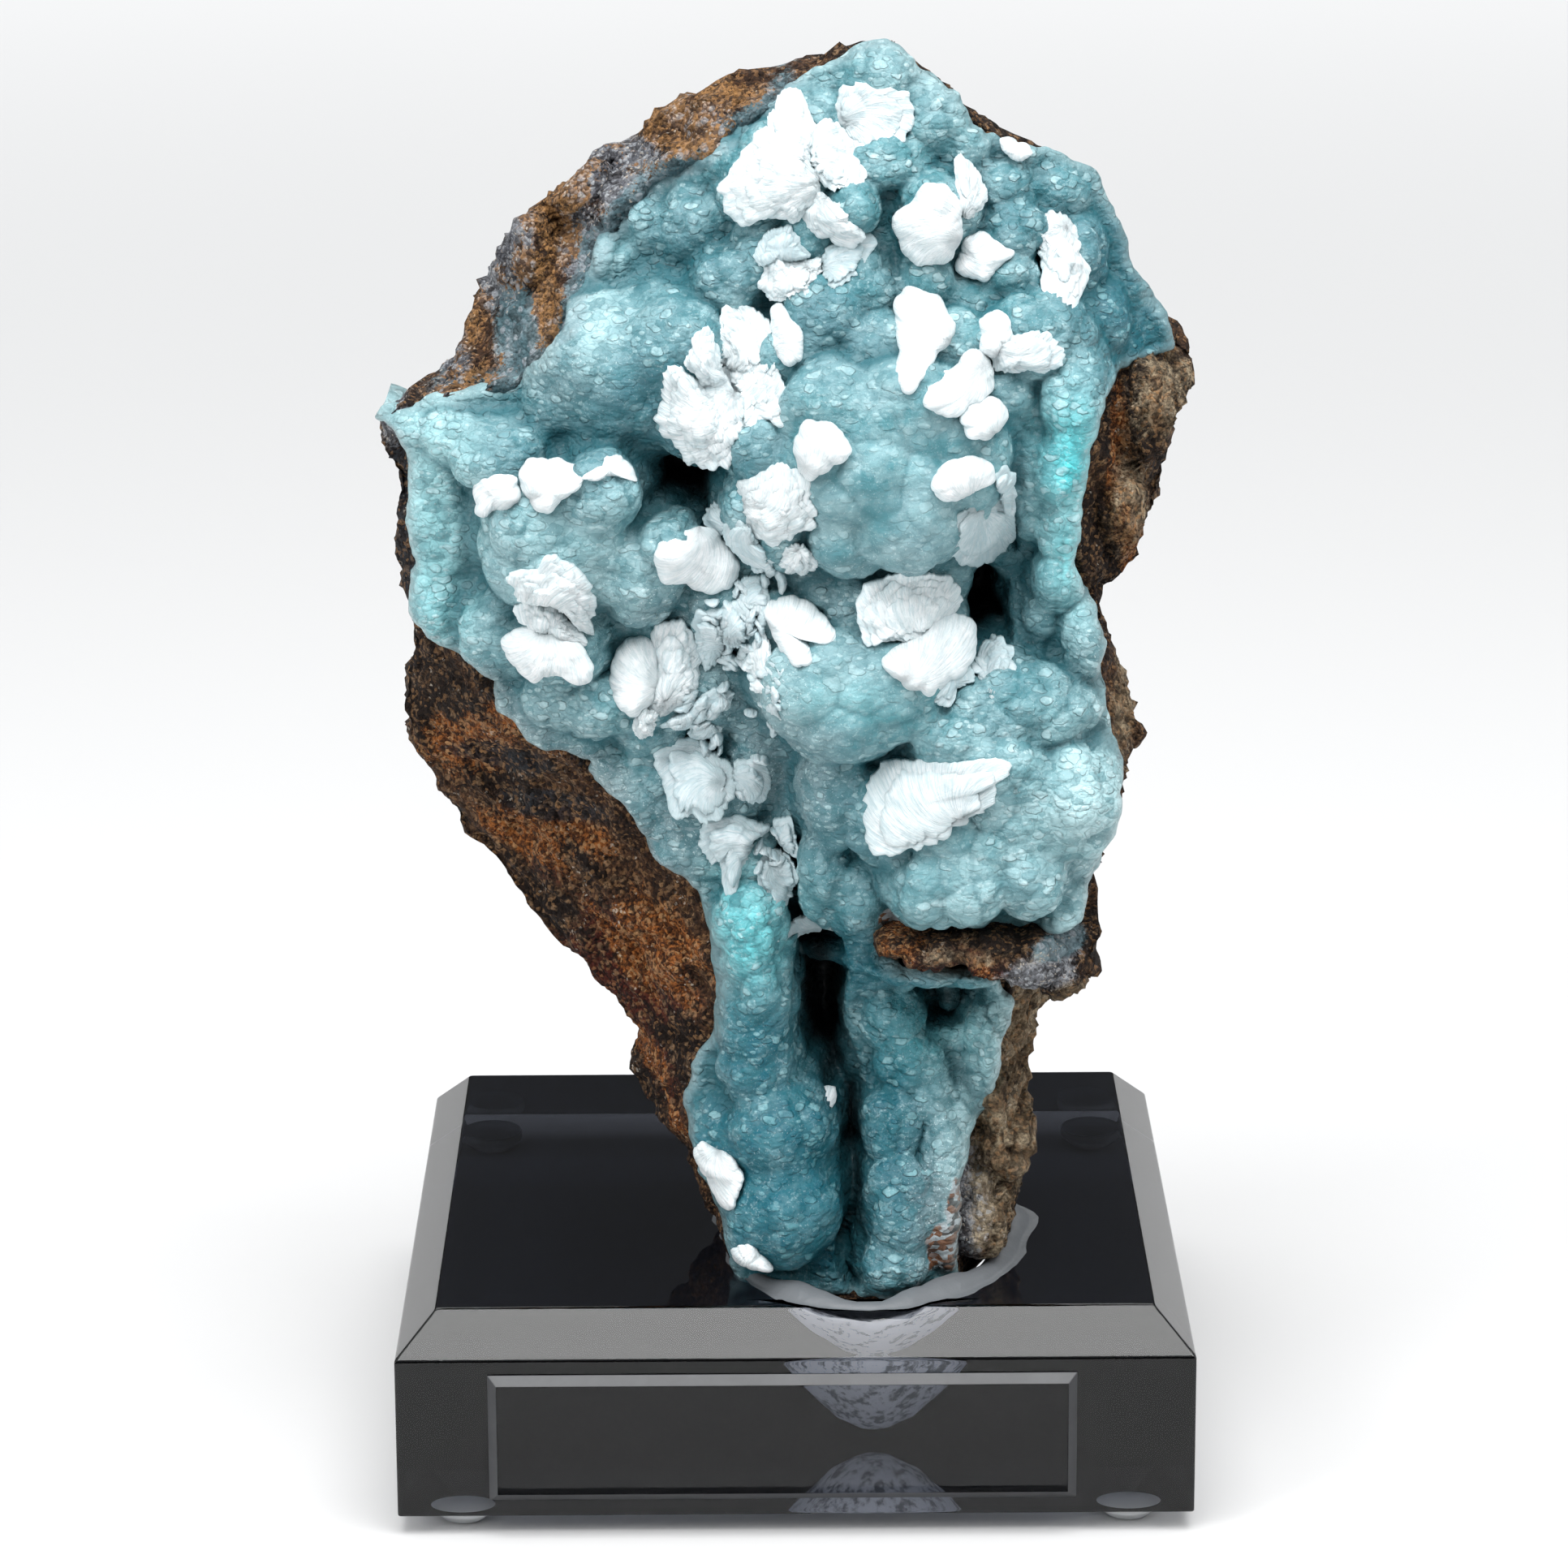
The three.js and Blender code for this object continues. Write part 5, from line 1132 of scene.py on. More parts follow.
# each lobe: growth, rise in mm, middle and outline. Middle and outline give the photograph's
# column and row by turns, and their points lie on the crust where the camera sees them.
calciteClusters = {
    "calcite_crown_spray": [
        ["flat", 1.8, [1075, 140], [1028, 126, 1037, 108, 1065, 102, 1098, 104, 1118, 115, 1130, 131,
         1121, 147, 1126, 156, 1111, 171, 1090, 179, 1060, 187, 1044, 169, 1032, 148]]],
    "calcite_crest_fan": [
        ["fan", 2.6, [975, 175], [945, 164, 950, 143, 963, 120, 981, 118, 993, 131, 1002, 151, 1004, 171,
         999, 202, 973, 207, 953, 189]],
        ["fan", 2.8, [1025, 195], [1000, 155, 1010, 148, 1024, 146, 1042, 164, 1057, 184, 1069, 210,
         1066, 228, 1050, 231, 1019, 230, 1004, 215, 999, 189]],
        ["fan", 3.4, [962, 218], [930, 159, 953, 166, 973, 171, 999, 202, 1016, 233, 999, 263, 973, 276,
         953, 263, 932, 273, 914, 281, 894, 258, 891, 245, 879, 231, 897, 222, 907, 199, 925, 184]],
        ["fan", 3.4, [1028, 272], [983, 263, 995, 240, 1012, 238, 1039, 253, 1057, 268, 1065, 289,
         1060, 302, 1039, 304, 1019, 296, 996, 284]]],
    "calcite_small_fan": [
        ["fan", 3.2, [970, 345], [932, 355, 942, 335, 948, 304, 965, 319, 983, 324, 1014, 316, 1009, 340,
         1004, 353, 986, 360, 971, 370, 950, 367]],
        ["grey", 2.0, [962, 303], [927, 316, 938, 296, 952, 280, 973, 277, 988, 300, 1004, 314, 978, 324,
         953, 319, 935, 330]],
        ["grey", 2.0, [1040, 317], [1009, 322, 1024, 301, 1050, 290, 1078, 292, 1080, 304, 1065, 324,
         1044, 342, 1032, 350, 1014, 351, 1007, 340]]],
    "calcite_upper_spray": [
        ["ball", 4.6, [1147, 280], [1097, 271, 1108, 261, 1126, 250, 1136, 228, 1157, 222, 1177, 233,
         1185, 253, 1187, 279, 1182, 304, 1172, 324, 1152, 327, 1129, 330, 1113, 314, 1104, 294]],
        ["fan", 2.6, [1192, 236], [1177, 199, 1187, 193, 1200, 207, 1210, 228, 1217, 243, 1210, 258,
         1198, 263, 1185, 265, 1177, 243, 1176, 220]],
        ["ball", 3.2, [1205, 315], [1177, 318, 1188, 293, 1203, 286, 1218, 289, 1237, 303, 1251, 307,
         1246, 315, 1233, 322, 1214, 343, 1192, 340, 1176, 329]]],
    "calcite_right_edge_fan": [
        ["fan", 3.2, [1305, 318], [1270, 274, 1292, 263, 1314, 270, 1329, 285, 1333, 311, 1342, 329,
         1333, 355, 1322, 372, 1296, 368, 1281, 344, 1283, 307, 1277, 285]]],
    "calcite_upper_ball": [
        ["ball", 4.6, [1134, 402], [1100, 381, 1115, 359, 1137, 357, 1159, 370, 1177, 392, 1174, 414,
         1152, 429, 1137, 444, 1122, 461, 1107, 459, 1100, 444, 1107, 418]]],
    "calcite_upper_pair": [
        ["ball", 4.2, [1184, 472], [1135, 488, 1140, 461, 1158, 455, 1175, 457, 1192, 437, 1211, 437,
         1224, 459, 1226, 485, 1214, 494, 1192, 500, 1174, 507, 1148, 498]],
        ["ball", 2.8, [1228, 412], [1207, 429, 1205, 398, 1226, 386, 1248, 391, 1249, 408, 1240, 424,
         1222, 440]],
        ["flat", 1.8, [1262, 434], [1216, 440, 1228, 415, 1263, 411, 1288, 407, 1307, 422, 1311, 451,
         1292, 459, 1263, 455, 1233, 459]]],
    "calcite_oval_ball": [
        ["ball", 4.0, [1211, 515], [1179, 514, 1190, 499, 1206, 493, 1224, 493, 1238, 503, 1243, 518,
         1233, 532, 1211, 538, 1189, 532]]],
    "calcite_twin_fans": [
        ["fan", 3.0, [885, 520], [850, 500, 870, 470, 903, 477, 920, 502, 918, 528, 908, 553, 895, 575,
         870, 575, 850, 550]],
        ["fan", 3.0, [875, 452], [842, 443, 849, 425, 854, 410, 867, 401, 880, 405, 877, 418, 888, 433,
         888, 456, 903, 477, 882, 487, 862, 466]],
        ["fan", 4.2, [857, 512], [803, 520, 814, 505, 817, 475, 820, 448, 834, 443, 849, 459, 867, 477,
         882, 489, 895, 510, 898, 538, 888, 556, 872, 573, 859, 576, 842, 566, 834, 545, 816, 540]],
        ["fan", 3.0, [920, 422], [884, 388, 897, 373, 914, 378, 930, 386, 948, 396, 953, 406, 963, 429,
         958, 457, 932, 462, 897, 457, 889, 439]],
        ["ball", 3.8, [969, 413], [948, 383, 960, 378, 973, 388, 993, 416, 986, 439, 971, 444, 958, 439,
         950, 419]],
        ["fan", 2.8, [928, 472], [890, 451, 923, 441, 950, 444, 964, 452, 967, 466, 973, 487, 962, 512,
         939, 505, 936, 522, 918, 525, 913, 502, 898, 474]]],
    "calcite_centre_fan": [
        ["grey", 1.6, [885, 640], [865, 645, 877, 622, 903, 619, 908, 637, 888, 658]],
        ["pale", 2.4, [918, 668], [890, 650, 905, 637, 923, 640, 939, 668, 954, 683, 949, 704, 933, 706,
         913, 696, 898, 680, 888, 665]],
        ["fan", 3.8, [960, 618], [907, 599, 923, 591, 954, 573, 979, 563, 1002, 584, 1002, 612, 1007, 624,
         1002, 645, 984, 650, 974, 665, 954, 673, 936, 668, 926, 653, 905, 630, 913, 614]],
        ["ball", 4.2, [1012, 548], [977, 560, 984, 535, 995, 520, 1020, 519, 1038, 530, 1050, 548,
         1043, 558, 1030, 568, 1015, 581, 998, 592, 985, 583]]],
    "calcite_centre_ball": [
        ["fan", 2.6, [981, 691], [959, 691, 969, 670, 984, 667, 1000, 670, 1002, 683, 1006, 702, 990, 715,
         969, 709]]],
    "calcite_right_fan": [
        ["pale", 2.4, [1210, 655], [1166, 628, 1180, 610, 1203, 604, 1230, 606, 1246, 625, 1254, 655,
         1250, 682, 1232, 698, 1212, 707, 1192, 704, 1178, 690, 1168, 660]],
        ["pale", 2.8, [1238, 600], [1222, 575, 1240, 568, 1252, 588, 1253, 622, 1252, 650, 1242, 646,
         1236, 622, 1228, 600]],
        ["ball", 4.0, [1188, 590], [1144, 600, 1155, 574, 1178, 562, 1207, 564, 1226, 580, 1229, 598,
         1207, 605, 1180, 616, 1159, 613]]],
    "calcite_wing_strip": [
        ["ball", 3.4, [610, 606], [578, 603, 593, 588, 619, 584, 641, 584, 643, 607, 626, 622, 605, 629,
         599, 639, 583, 636, 586, 621]],
        ["ball", 3.8, [680, 598], [636, 590, 652, 571, 686, 570, 712, 574, 727, 580, 711, 597, 692, 609,
         679, 627, 662, 627, 646, 616]]],
    "calcite_wing_drop": [
        ["ball", 2.4, [752, 574], [716, 584, 729, 570, 746, 563, 766, 566, 779, 578, 788, 597, 776, 590,
         757, 583, 737, 586]]],
    "calcite_wing_fan": [
        ["fan", 3.6, [692, 728], [616, 709, 639, 697, 664, 698, 676, 675, 699, 684, 714, 696, 729, 716,
         734, 749, 729, 772, 734, 792, 719, 788, 706, 768, 686, 748, 664, 742, 639, 743, 624, 740,
         636, 726]],
        ["fan", 3.4, [675, 762], [633, 747, 657, 736, 686, 747, 709, 769, 725, 792, 706, 797, 679, 780,
         652, 782, 636, 767]],
        ["ball", 4.4, [672, 805], [611, 795, 629, 782, 652, 774, 679, 775, 706, 782, 725, 799, 735, 822,
         725, 837, 712, 842, 696, 829, 672, 832, 659, 845, 643, 835, 623, 815]]],
    "calcite_wing_ball": [
        ["ball", 4.0, [859, 688], [804, 683, 809, 660, 829, 650, 867, 647, 886, 655, 893, 672, 909, 686,
         913, 706, 904, 723, 887, 728, 870, 731, 853, 724, 845, 716, 822, 715, 809, 702]]],
    "calcite_shaft_ball": [
        ["pale", 2.2, [852, 880], [811, 890, 844, 878, 862, 857, 882, 842, 887, 857, 872, 879, 852, 898,
         829, 900]],
        ["fan", 3.6, [833, 815], [800, 780, 812, 760, 835, 755, 848, 765, 861, 792, 866, 825, 858, 858,
         832, 872, 805, 877, 794, 858, 805, 825]],
        ["fan", 2.4, [795, 888], [780, 901, 784, 882, 792, 868, 811, 874, 810, 891, 801, 908, 788, 911]],
        ["ball", 4.2, [784, 829], [751, 835, 757, 803, 772, 787, 795, 784, 814, 799, 815, 825, 806, 858,
         788, 874, 769, 871, 756, 854]]],
    "calcite_grey_blades": [
        ["grey", 2.2, [928, 732], [907, 728, 918, 714, 934, 712, 947, 724, 948, 738, 936, 748, 918, 750,
         909, 741]],
        ["grey", 2.6, [877, 785], [852, 760, 862, 745, 878, 752, 886, 769, 895, 791, 882, 822, 867, 834,
         860, 806]],
        ["grey", 2.6, [903, 762], [884, 756, 893, 741, 909, 738, 922, 756, 924, 778, 910, 795, 895, 800,
         887, 780]],
        ["pale", 1.8, [887, 864], [867, 884, 876, 862, 889, 846, 905, 852, 899, 871, 882, 884]],
        ["grey", 1.8, [868, 902], [845, 906, 856, 890, 876, 884, 891, 893, 881, 909, 862, 914]]],
    "calcite_heart": [
        ["ball", 3.8, [966, 771], [935, 745, 954, 743, 969, 739, 995, 743, 1010, 756, 1034, 775,
         1028, 781, 1010, 785, 984, 778, 1003, 789, 1004, 800, 985, 808, 969, 806, 956, 794, 949, 775]]],
    "calcite_heart_blades": [
        ["fan", 2.2, [936, 812], [915, 828, 924, 803, 938, 777, 949, 786, 948, 811, 941, 826, 925, 838]],
        ["fan", 2.0, [944, 848], [921, 847, 932, 839, 954, 838, 962, 847, 962, 858, 944, 857, 926, 853]],
        ["grey", 1.4, [952, 873], [940, 877, 946, 862, 964, 859, 960, 872, 965, 884, 949, 886]]],
    "calcite_big_fan": [
        ["fan", 3.6, [1122, 745], [1053, 733, 1059, 716, 1086, 706, 1112, 696, 1132, 701, 1159, 710,
         1179, 726, 1189, 753, 1170, 776, 1132, 788, 1104, 781, 1082, 776, 1066, 786, 1059, 769,
         1053, 753]],
        ["ball", 4.2, [1155, 797], [1080, 799, 1106, 786, 1139, 771, 1165, 764, 1192, 769, 1206, 783,
         1206, 806, 1193, 828, 1165, 837, 1145, 846, 1132, 833, 1112, 827, 1097, 813]],
        ["pale", 1.8, [1173, 838], [1145, 848, 1158, 829, 1180, 820, 1199, 830, 1205, 841, 1192, 846,
         1179, 847, 1175, 859, 1162, 864, 1150, 858]]],
    "calcite_grey_tuft": [
        ["grey", 1.8, [1228, 814], [1202, 812, 1215, 796, 1232, 788, 1252, 797, 1247, 812, 1253, 829,
         1235, 833, 1218, 843, 1207, 832]]],
    "calcite_shaft_fans": [
        ["pale", 2.6, [845, 956], [803, 928, 816, 914, 838, 914, 859, 911, 869, 924, 893, 933, 909, 951,
         903, 974, 893, 990, 877, 1005, 862, 1000, 849, 990, 844, 1001, 826, 1003, 820, 982, 820, 967,
         810, 952]],
        ["grey", 2.2, [924, 961], [905, 936, 923, 934, 942, 940, 951, 959, 947, 979, 939, 992, 923, 994,
         908, 979, 901, 959]]],
    "calcite_lower_fan": [
        ["grey", 2.2, [957, 1085], [939, 1051, 964, 1049, 979, 1056, 984, 1076, 978, 1098, 969, 1118,
         957, 1126, 948, 1106, 936, 1087, 931, 1066]],
        ["grey", 1.6, [969, 1030], [952, 1013, 973, 1004, 980, 1020, 985, 1038, 982, 1052, 964, 1044,
         955, 1029]],
        ["pale", 3.2, [898, 1032], [861, 1018, 875, 1008, 903, 1003, 923, 1009, 950, 1016, 948, 1022,
         933, 1027, 928, 1040, 923, 1055, 911, 1078, 905, 1101, 893, 1100, 888, 1090, 890, 1072,
         885, 1053, 877, 1068, 867, 1055, 861, 1035]],
        ["grey", 1.4, [994, 1138], [957, 1137, 975, 1127, 1000, 1121, 1026, 1124, 1030, 1142, 1010, 1151,
         985, 1155, 965, 1150]]],
    "calcite_right_spray": [
        ["flat", 2.2, [1120, 985], [1063, 1005, 1069, 978, 1076, 955, 1099, 939, 1132, 940, 1165, 935,
         1192, 932, 1218, 929, 1238, 922, 1252, 934, 1245, 944, 1218, 955, 1230, 975, 1212, 986,
         1189, 998, 1165, 1018, 1159, 1030, 1132, 1036, 1112, 1039, 1099, 1052, 1069, 1052, 1066, 1025]]],
    "calcite_foot_ball": [
        ["ball", 3.2, [884, 1440], [853, 1419, 863, 1408, 884, 1413, 899, 1416, 908, 1426, 919, 1435,
         912, 1455, 906, 1476, 893, 1485, 881, 1479, 874, 1462, 860, 1446]]],
    "calcite_foot_drop": [
        ["ball", 3.2, [922, 1547], [900, 1541, 908, 1529, 921, 1526, 935, 1535, 949, 1554, 953, 1563,
         927, 1565, 909, 1562, 901, 1551]]],
    "calcite_speck": [
        ["ball", 1.4, [1021, 1354], [1008, 1346, 1017, 1343, 1030, 1346, 1031, 1359, 1022, 1366,
         1015, 1360]]],
    "calcite_rim_ball": [
        ["ball", 2.2, [1252, 184], [1228, 170, 1248, 171, 1266, 179, 1273, 189, 1261, 199, 1248, 195,
         1236, 184]]],
}


def planeHit(pixels, depth):
    # x and z where the camera's ray through a pixel crosses the upright plane at a depth
    focus = camera["lens"] / camera["sensor"] * camera["pixels"]
    right, up, forward = cameraAxes()
    column, row = (np.reshape(pixels, (-1, 2)) - camera["pixels"] / 2).T
    rays = focus * np.array(forward) + np.outer(column, right) - np.outer(row, up)
    reach = (frontFace + depth - camera["place"][1]) / rays[:, 1]
    hits = camera["place"] + rays * np.reshape(reach, (-1, 1))
    return hits[:, 0], hits[:, 2]


def frontHit(pixel):
    # the point of the softened front that shows at a pixel, half the way closer at each step
    depth, steps = 20.0, 8
    for _ in range(steps):
        x, z = planeHit(pixel, depth)
        depth = 0.5 * depth + 0.5 * float(sampled(softDepth, x, z)[0])
    return float(x[0]), float(z[0]), depth


def evenRing(x, z, count):
    # count points at equal steps along a closed outline, with its corners rounded off by
    # means of neighbours
    corners = np.stack([x, z], 1)
    closed = np.concatenate([corners, corners[:1]])
    run = np.concatenate([[0], np.cumsum(np.linalg.norm(np.diff(closed, axis=0), axis=1))])
    at = np.linspace(0, run[-1], count, endpoint=False)
    ring = np.stack([np.interp(at, run, closed[:, 0]), np.interp(at, run, closed[:, 1])], 1)
    for _ in range(count // 10):
        ring = 0.5 * ring + 0.25 * np.roll(ring, 1, 0) + 0.25 * np.roll(ring, -1, 0)
    return ring


def fibreRun(x, z, root, size, bend):
    # a place that changes fast across the fibres and slowly along them: the fibres spread
    # from a root and bend on their way
    dx, dz = x - root[0], z - root[1]
    reach = np.hypot(dx, dz)
    angle = np.arctan2(dz, dx) + bend * reach / size
    across = 1.4 * size
    return np.stack([across * np.cos(angle), across * np.sin(angle), reach / 6], -1)


def scatteredBlades(column, row, halfWide, halfHigh, count, random):
    # small leaf outlines, a circle drawn out along a random direction, strewn over a patch
    turn = np.linspace(0, 2 * np.pi, blade["corners"], endpoint=False)
    made = []
    for _ in range(count):
        reach, way = np.sqrt(random.uniform()), random.uniform(0, 2 * np.pi)
        middle = np.array([column + halfWide * reach * np.cos(way),
                           row + halfHigh * reach * np.sin(way)])
        lean = random.uniform(0, np.pi)
        half = random.uniform(*blade["half"])
        leaf = np.stack([half * np.cos(turn), blade["narrow"] * half * np.sin(turn)], 1)
        leaf[:, 1] += blade["curl"] * half * np.cos(turn) ** 2
        spin = np.array([[np.cos(lean), np.sin(lean)], [-np.sin(lean), np.cos(lean)]])
        made.append(["blade", random.uniform(*blade["rise"]), middle, leaf @ spin + middle])
    return made


def puffs(x, z, size, start):
    # rounded cells over x and z, height 0.6 - (d / 0.7)^2
    place = np.stack([x, z, 0 * x], -1) + start
    return domed(cells(place, size, 9)[0], 0.7, 0.6)


def lobeProfile(kind, rise, low, high, length, size):
    # rows from the hinge to the edge, with t the share of the way and e the way to the edge
    # over the width of the rounded rim: heights 0.6 sqrt(1 - (1 - e)^2) + 0.4 (1 - t^2), then
    # down over the edge and back in under the lobe
    t = np.sin(np.linspace(0.06, np.pi / 2, calcite["rows"]))[:, None]
    inwards = np.clip((1 - t) * length / min(kind["round"], 0.8 * size), 0, 1)
    profile = 0.6 * np.sqrt(1 - (1 - inwards) ** 2) + 0.4 * (1 - t ** 2)
    edgeHeight = rise * low - calcite["rimThickness"]
    under = [np.full((1, len(length)), edge)
             for edge in (edgeHeight, edgeHeight - calcite["rootDepth"])]
    height = np.concatenate([rise * (low + high * profile), *under])
    return np.concatenate([t, [[1.0], [calcite["rootReach"]]]]), height


def lobeLayer(style, rise, hinge, ring, layer, root, bend, random):
    # a cap over its outline, points hinge + t (ring - hinge), on the crust or on the plane
    # that touches it at the hinge, whichever is nearer
    share, low, high = layer
    kind, ridgeWidth = growth[style], calcite["ridgeWidth"]
    hx, hz, depth = hinge
    arm = (ring - (hx, hz)) * share
    length = np.linalg.norm(arm, axis=1)
    size = length.mean()
    start = random.uniform(0, 40, 3)
    shift = root * size * (1 - share) * 0.6
    foot = (hx, hz) + root * size / share
    edgeX, edgeZ = (arm + (hx, hz)).T
    teeth = noise(fibreRun(edgeX, edgeZ, foot, size, bend) + start, ridgeWidth, 5)
    teeth += 0.25 * random.uniform(-1, 1, len(ring))
    scallop = puffs(edgeX, edgeZ, calcite["puffSize"] * 0.8, start)
    reachOut = np.minimum(kind["teeth"] * teeth + kind["scallop"] * scallop, 0.25 * length)
    arm = arm + arm / length[:, None] * reachOut[:, None]

    t, height = lobeProfile(kind, rise, low, high, length + reachOut, size)
    x = hx + shift[0] + t * arm[None, :, 0]
    z = hz + shift[1] + t * arm[None, :, 1]
    run = fibreRun(x, z, foot, size, bend) + start
    fine = noise(run, ridgeWidth, 5) + 0.5 * noise(run, ridgeWidth / 2, 6)
    fold = noise(run, ridgeWidth * 4.5, 7)
    bumps = noise(np.stack([x, z, 0 * x], -1) + start, calcite["lumpSize"], 3)
    lift = kind["lump"] * bumps + kind["puff"] * puffs(x, z, calcite["puffSize"], start)
    lift += (kind["ridge"] * fine + kind["fold"] * fold) * (0.35 + 0.65 * t)
    height = height + lift * (1 - t ** 10)
    steepest = 0.7
    slopeX, slopeZ = [np.clip(float(sampled(slope, np.array(hx), np.array(hz))), -steepest, steepest)
                      for slope in (softSlopeX, softSlopeZ)]
    plane = depth + slopeX * (x - hx) + slopeZ * (z - hz)
    base = nearer(plane, sampled(softDepth, x, z), blendWidth)
    points = np.stack([x, frontFace + base - height, z], -1)
    # painted shade in the grooves of fibres and folds; a bluish band along each layer's edge, partly the
    # thin edge's own grey and partly painted shade
    grooveShade = np.clip(0.45 - 0.5 * fine - 0.5 * fold, 0, 1)
    rim = smoothStep(0.75, 1.0, t) * (1 - low * 0.6) + 0 * x
    return points, {"fibre": run.reshape(-1, 3), "grooveShade": grooveShade.ravel(), "rim": rim.ravel()}


def makeCluster(node, lobes, seed, material):
    # every lobe's fibres start from the side where the middle of its cluster lies
    random = np.random.default_rng(seed)
    points, quads, ends, offset = [], [], [], 0
    attributes = {"fibre": [], "grooveShade": [], "rim": [], "grey": []}
    hinges = [frontHit(middle) for _, _, middle, _ in lobes]
    heart = np.mean([hinge[:2] for hinge in hinges], axis=0)
    for patch in bladePatches.get(node, []):
        blades = scatteredBlades(*patch, random)
        lobes = lobes + blades
        hinges = hinges + [frontHit(middle) for _, _, middle, _ in blades]
    for (style, rise, _, outline), hinge in zip(lobes, hinges):
        count = calcite["bladeColumns" if style == "blade" else "columns"]
        ring = evenRing(*planeHit(outline, hinge[2]), count)
        way = random.uniform(0, 2 * np.pi)
        towards = heart - hinge[:2] + 1.5 * np.array([np.cos(way), np.sin(way)])
        root = calcite["rootShift"] * towards / np.linalg.norm(towards)
        bend = calcite["bend"] * random.uniform(-1, 1)
        for layer in growth[style]["layers"]:
            grid, made = lobeLayer(style, rise, hinge, ring, layer, root, bend, random)
            flat, faceSets = tubeFaces(grid)
            quads.append(faceSets[0] + offset)
            ends.extend(faces + offset for faces in faceSets[1:])
            points.append(flat)
            for label, values in made.items():
                attributes[label].append(values)
            attributes["grey"].append(np.full(len(flat), growth[style]["grey"]))
            offset += len(flat)
    merged = {label: np.concatenate(values) for label, values in attributes.items()}
    piece = buildMesh(node.replace("calcite_", "calcite-"), np.concatenate(points),
                      [np.concatenate(quads), *ends], merged)
    placePiece(piece, [node], "calcite", material)


def calciteFinish():
    # white, or dull where the lobe is grey, with bluish strands, painted shade in the grooves, and bluish
    # rims, partly the thin edges' own grey and partly painted shade
    f = Finish("calciteWhite", Roughness=0.5, IOR=1.55, Specular_IOR_Level=0.3,
               Subsurface_Weight=0.2, Subsurface_Scale=0.0012, Subsurface_Radius=(1.0, 1.0, 1.0))
    place = f.place()
    fibres = f.grain(f.attribute("fibre", "Vector"), 0.42 / metre, 3.0, 0.7)
    fleck = f.grain(place, 0.6, 3.0, 0.6)
    soft = f.grain(place, 2.5, 2.0, 0.5)
    grey = f.attribute("grey")
    white = f.mixed(soft.stepped(0.35, 0.65), (0.8, 0.845, 0.855), (0.9, 0.92, 0.93))
    dull = f.mixed(soft.stepped(0.3, 0.7), (0.36, 0.46, 0.49), (0.58, 0.67, 0.7))
    strands = (grey * 3).clamped()
    body = f.overlaid(
        f.mixed(grey, white, dull),
        (f.attribute("grooveShade") * (strands * 0.4 + 0.1), (0.42, 0.55, 0.58)),
        (fibres.stepped(0.54, 0.4) * (strands * 0.5 + 0.3), (0.42, 0.55, 0.59)),
        (f.attribute("rim") * (strands * 0.45 + 0.12), (0.5, 0.64, 0.67)))
    return f.feed(Base_Color=body, Normal=f.bumped(fibres * 1.2 + fleck * 0.5, 0.28))


# Acrylic block, plate and feet, in mm

block = {
    "edgeRadius": 0.45, "support": 0.35, "perSide": 40,
    "sideHeight": 26.5, "bevel": 6.5, "topMargin": 3, "underMargin": 6,
    # the wavy collar round the seat: size against the seat's, height
    "collar": [[1.1, 0.0], [1.075, 0.0], [1.06, 0.02], [1.05, 0.3], [1.03, 0.8], [1.0, 1.2],
               [0.96, 1.3], [0.92, 0.7]],
    # the smooth lip ends 11 mm under the top and is full down to 5 mm; the belly starts at
    # height 5 mm, is 31 mm tall and 28% wider
    "seatRows": 40, "carveSize": 5.0, "carveDepth": 0.5, "lip": [11, 5], "belly": [5, 31, 0.28],
}


def filleted(corners, radius, support, closed):
    # each corner P between A and B becomes the curve (1-s)^2 P1 + 2s(1-s) P + s^2 P2, with P1
    # and P2 at radius from P, and a point at support beyond each to keep the flats flat
    corners = np.asarray(corners, float)
    made = [] if closed else [corners[:1]]
    count, pointsPerCurve = len(corners), 6
    s = np.linspace(0, 1, pointsPerCurve)[:, None]
    for k in range(count) if closed else range(1, count - 1):
        at, before, after = corners[k], corners[k - 1], corners[(k + 1) % count]
        back = (before - at) / np.linalg.norm(before - at)
        on = (after - at) / np.linalg.norm(after - at)
        p1, p2 = at + radius * back, at + radius * on
        curve = (1 - s) ** 2 * p1 + 2 * s * (1 - s) * at + s ** 2 * p2
        made.extend([[p1 + support * back], curve, [p2 + support * on]])
    if not closed:
        made.append(corners[-1:])
    return np.concatenate(made)


def squareRing(halfA, halfB, radius, support, perSide):
    # a rectangle with rounded corners and perSide more points along each side
    corners = [[halfA, -halfB], [halfA, halfB], [-halfA, halfB], [-halfA, -halfB]]
    outline = filleted(corners, radius, support, True)
    perCorner = len(outline) // 4
    t = np.linspace(0, 1, perSide + 2)[1:-1, None]
    parts = []
    for k in range(4):
        part = outline[k * perCorner:(k + 1) * perCorner]
        ahead = outline[((k + 1) * perCorner) % len(outline)]
        parts.extend([part, part[-1] + (ahead - part[-1]) * t])
    return np.concatenate(parts)


def seatRow(height, angle):
    # wavy ellipse of the carved seat at a height, bellied out half way down
    cx, depth, halfWidth, halfDepth = [limits(seatRings, height, k) for k in (1, 2, 3, 4)]
    wave = 1 + 0.03 * np.sin(3 * angle + 1) + 0.02 * np.sin(7 * angle)
    low, tall, belly = block["belly"]
    halfWidth = halfWidth * (1 + belly * np.sin(np.pi * np.clip((height - low) / tall, 0, 1)))
    return ellipseRow(cx, frontFace + depth, halfWidth * wave, halfDepth * wave, angle, height)


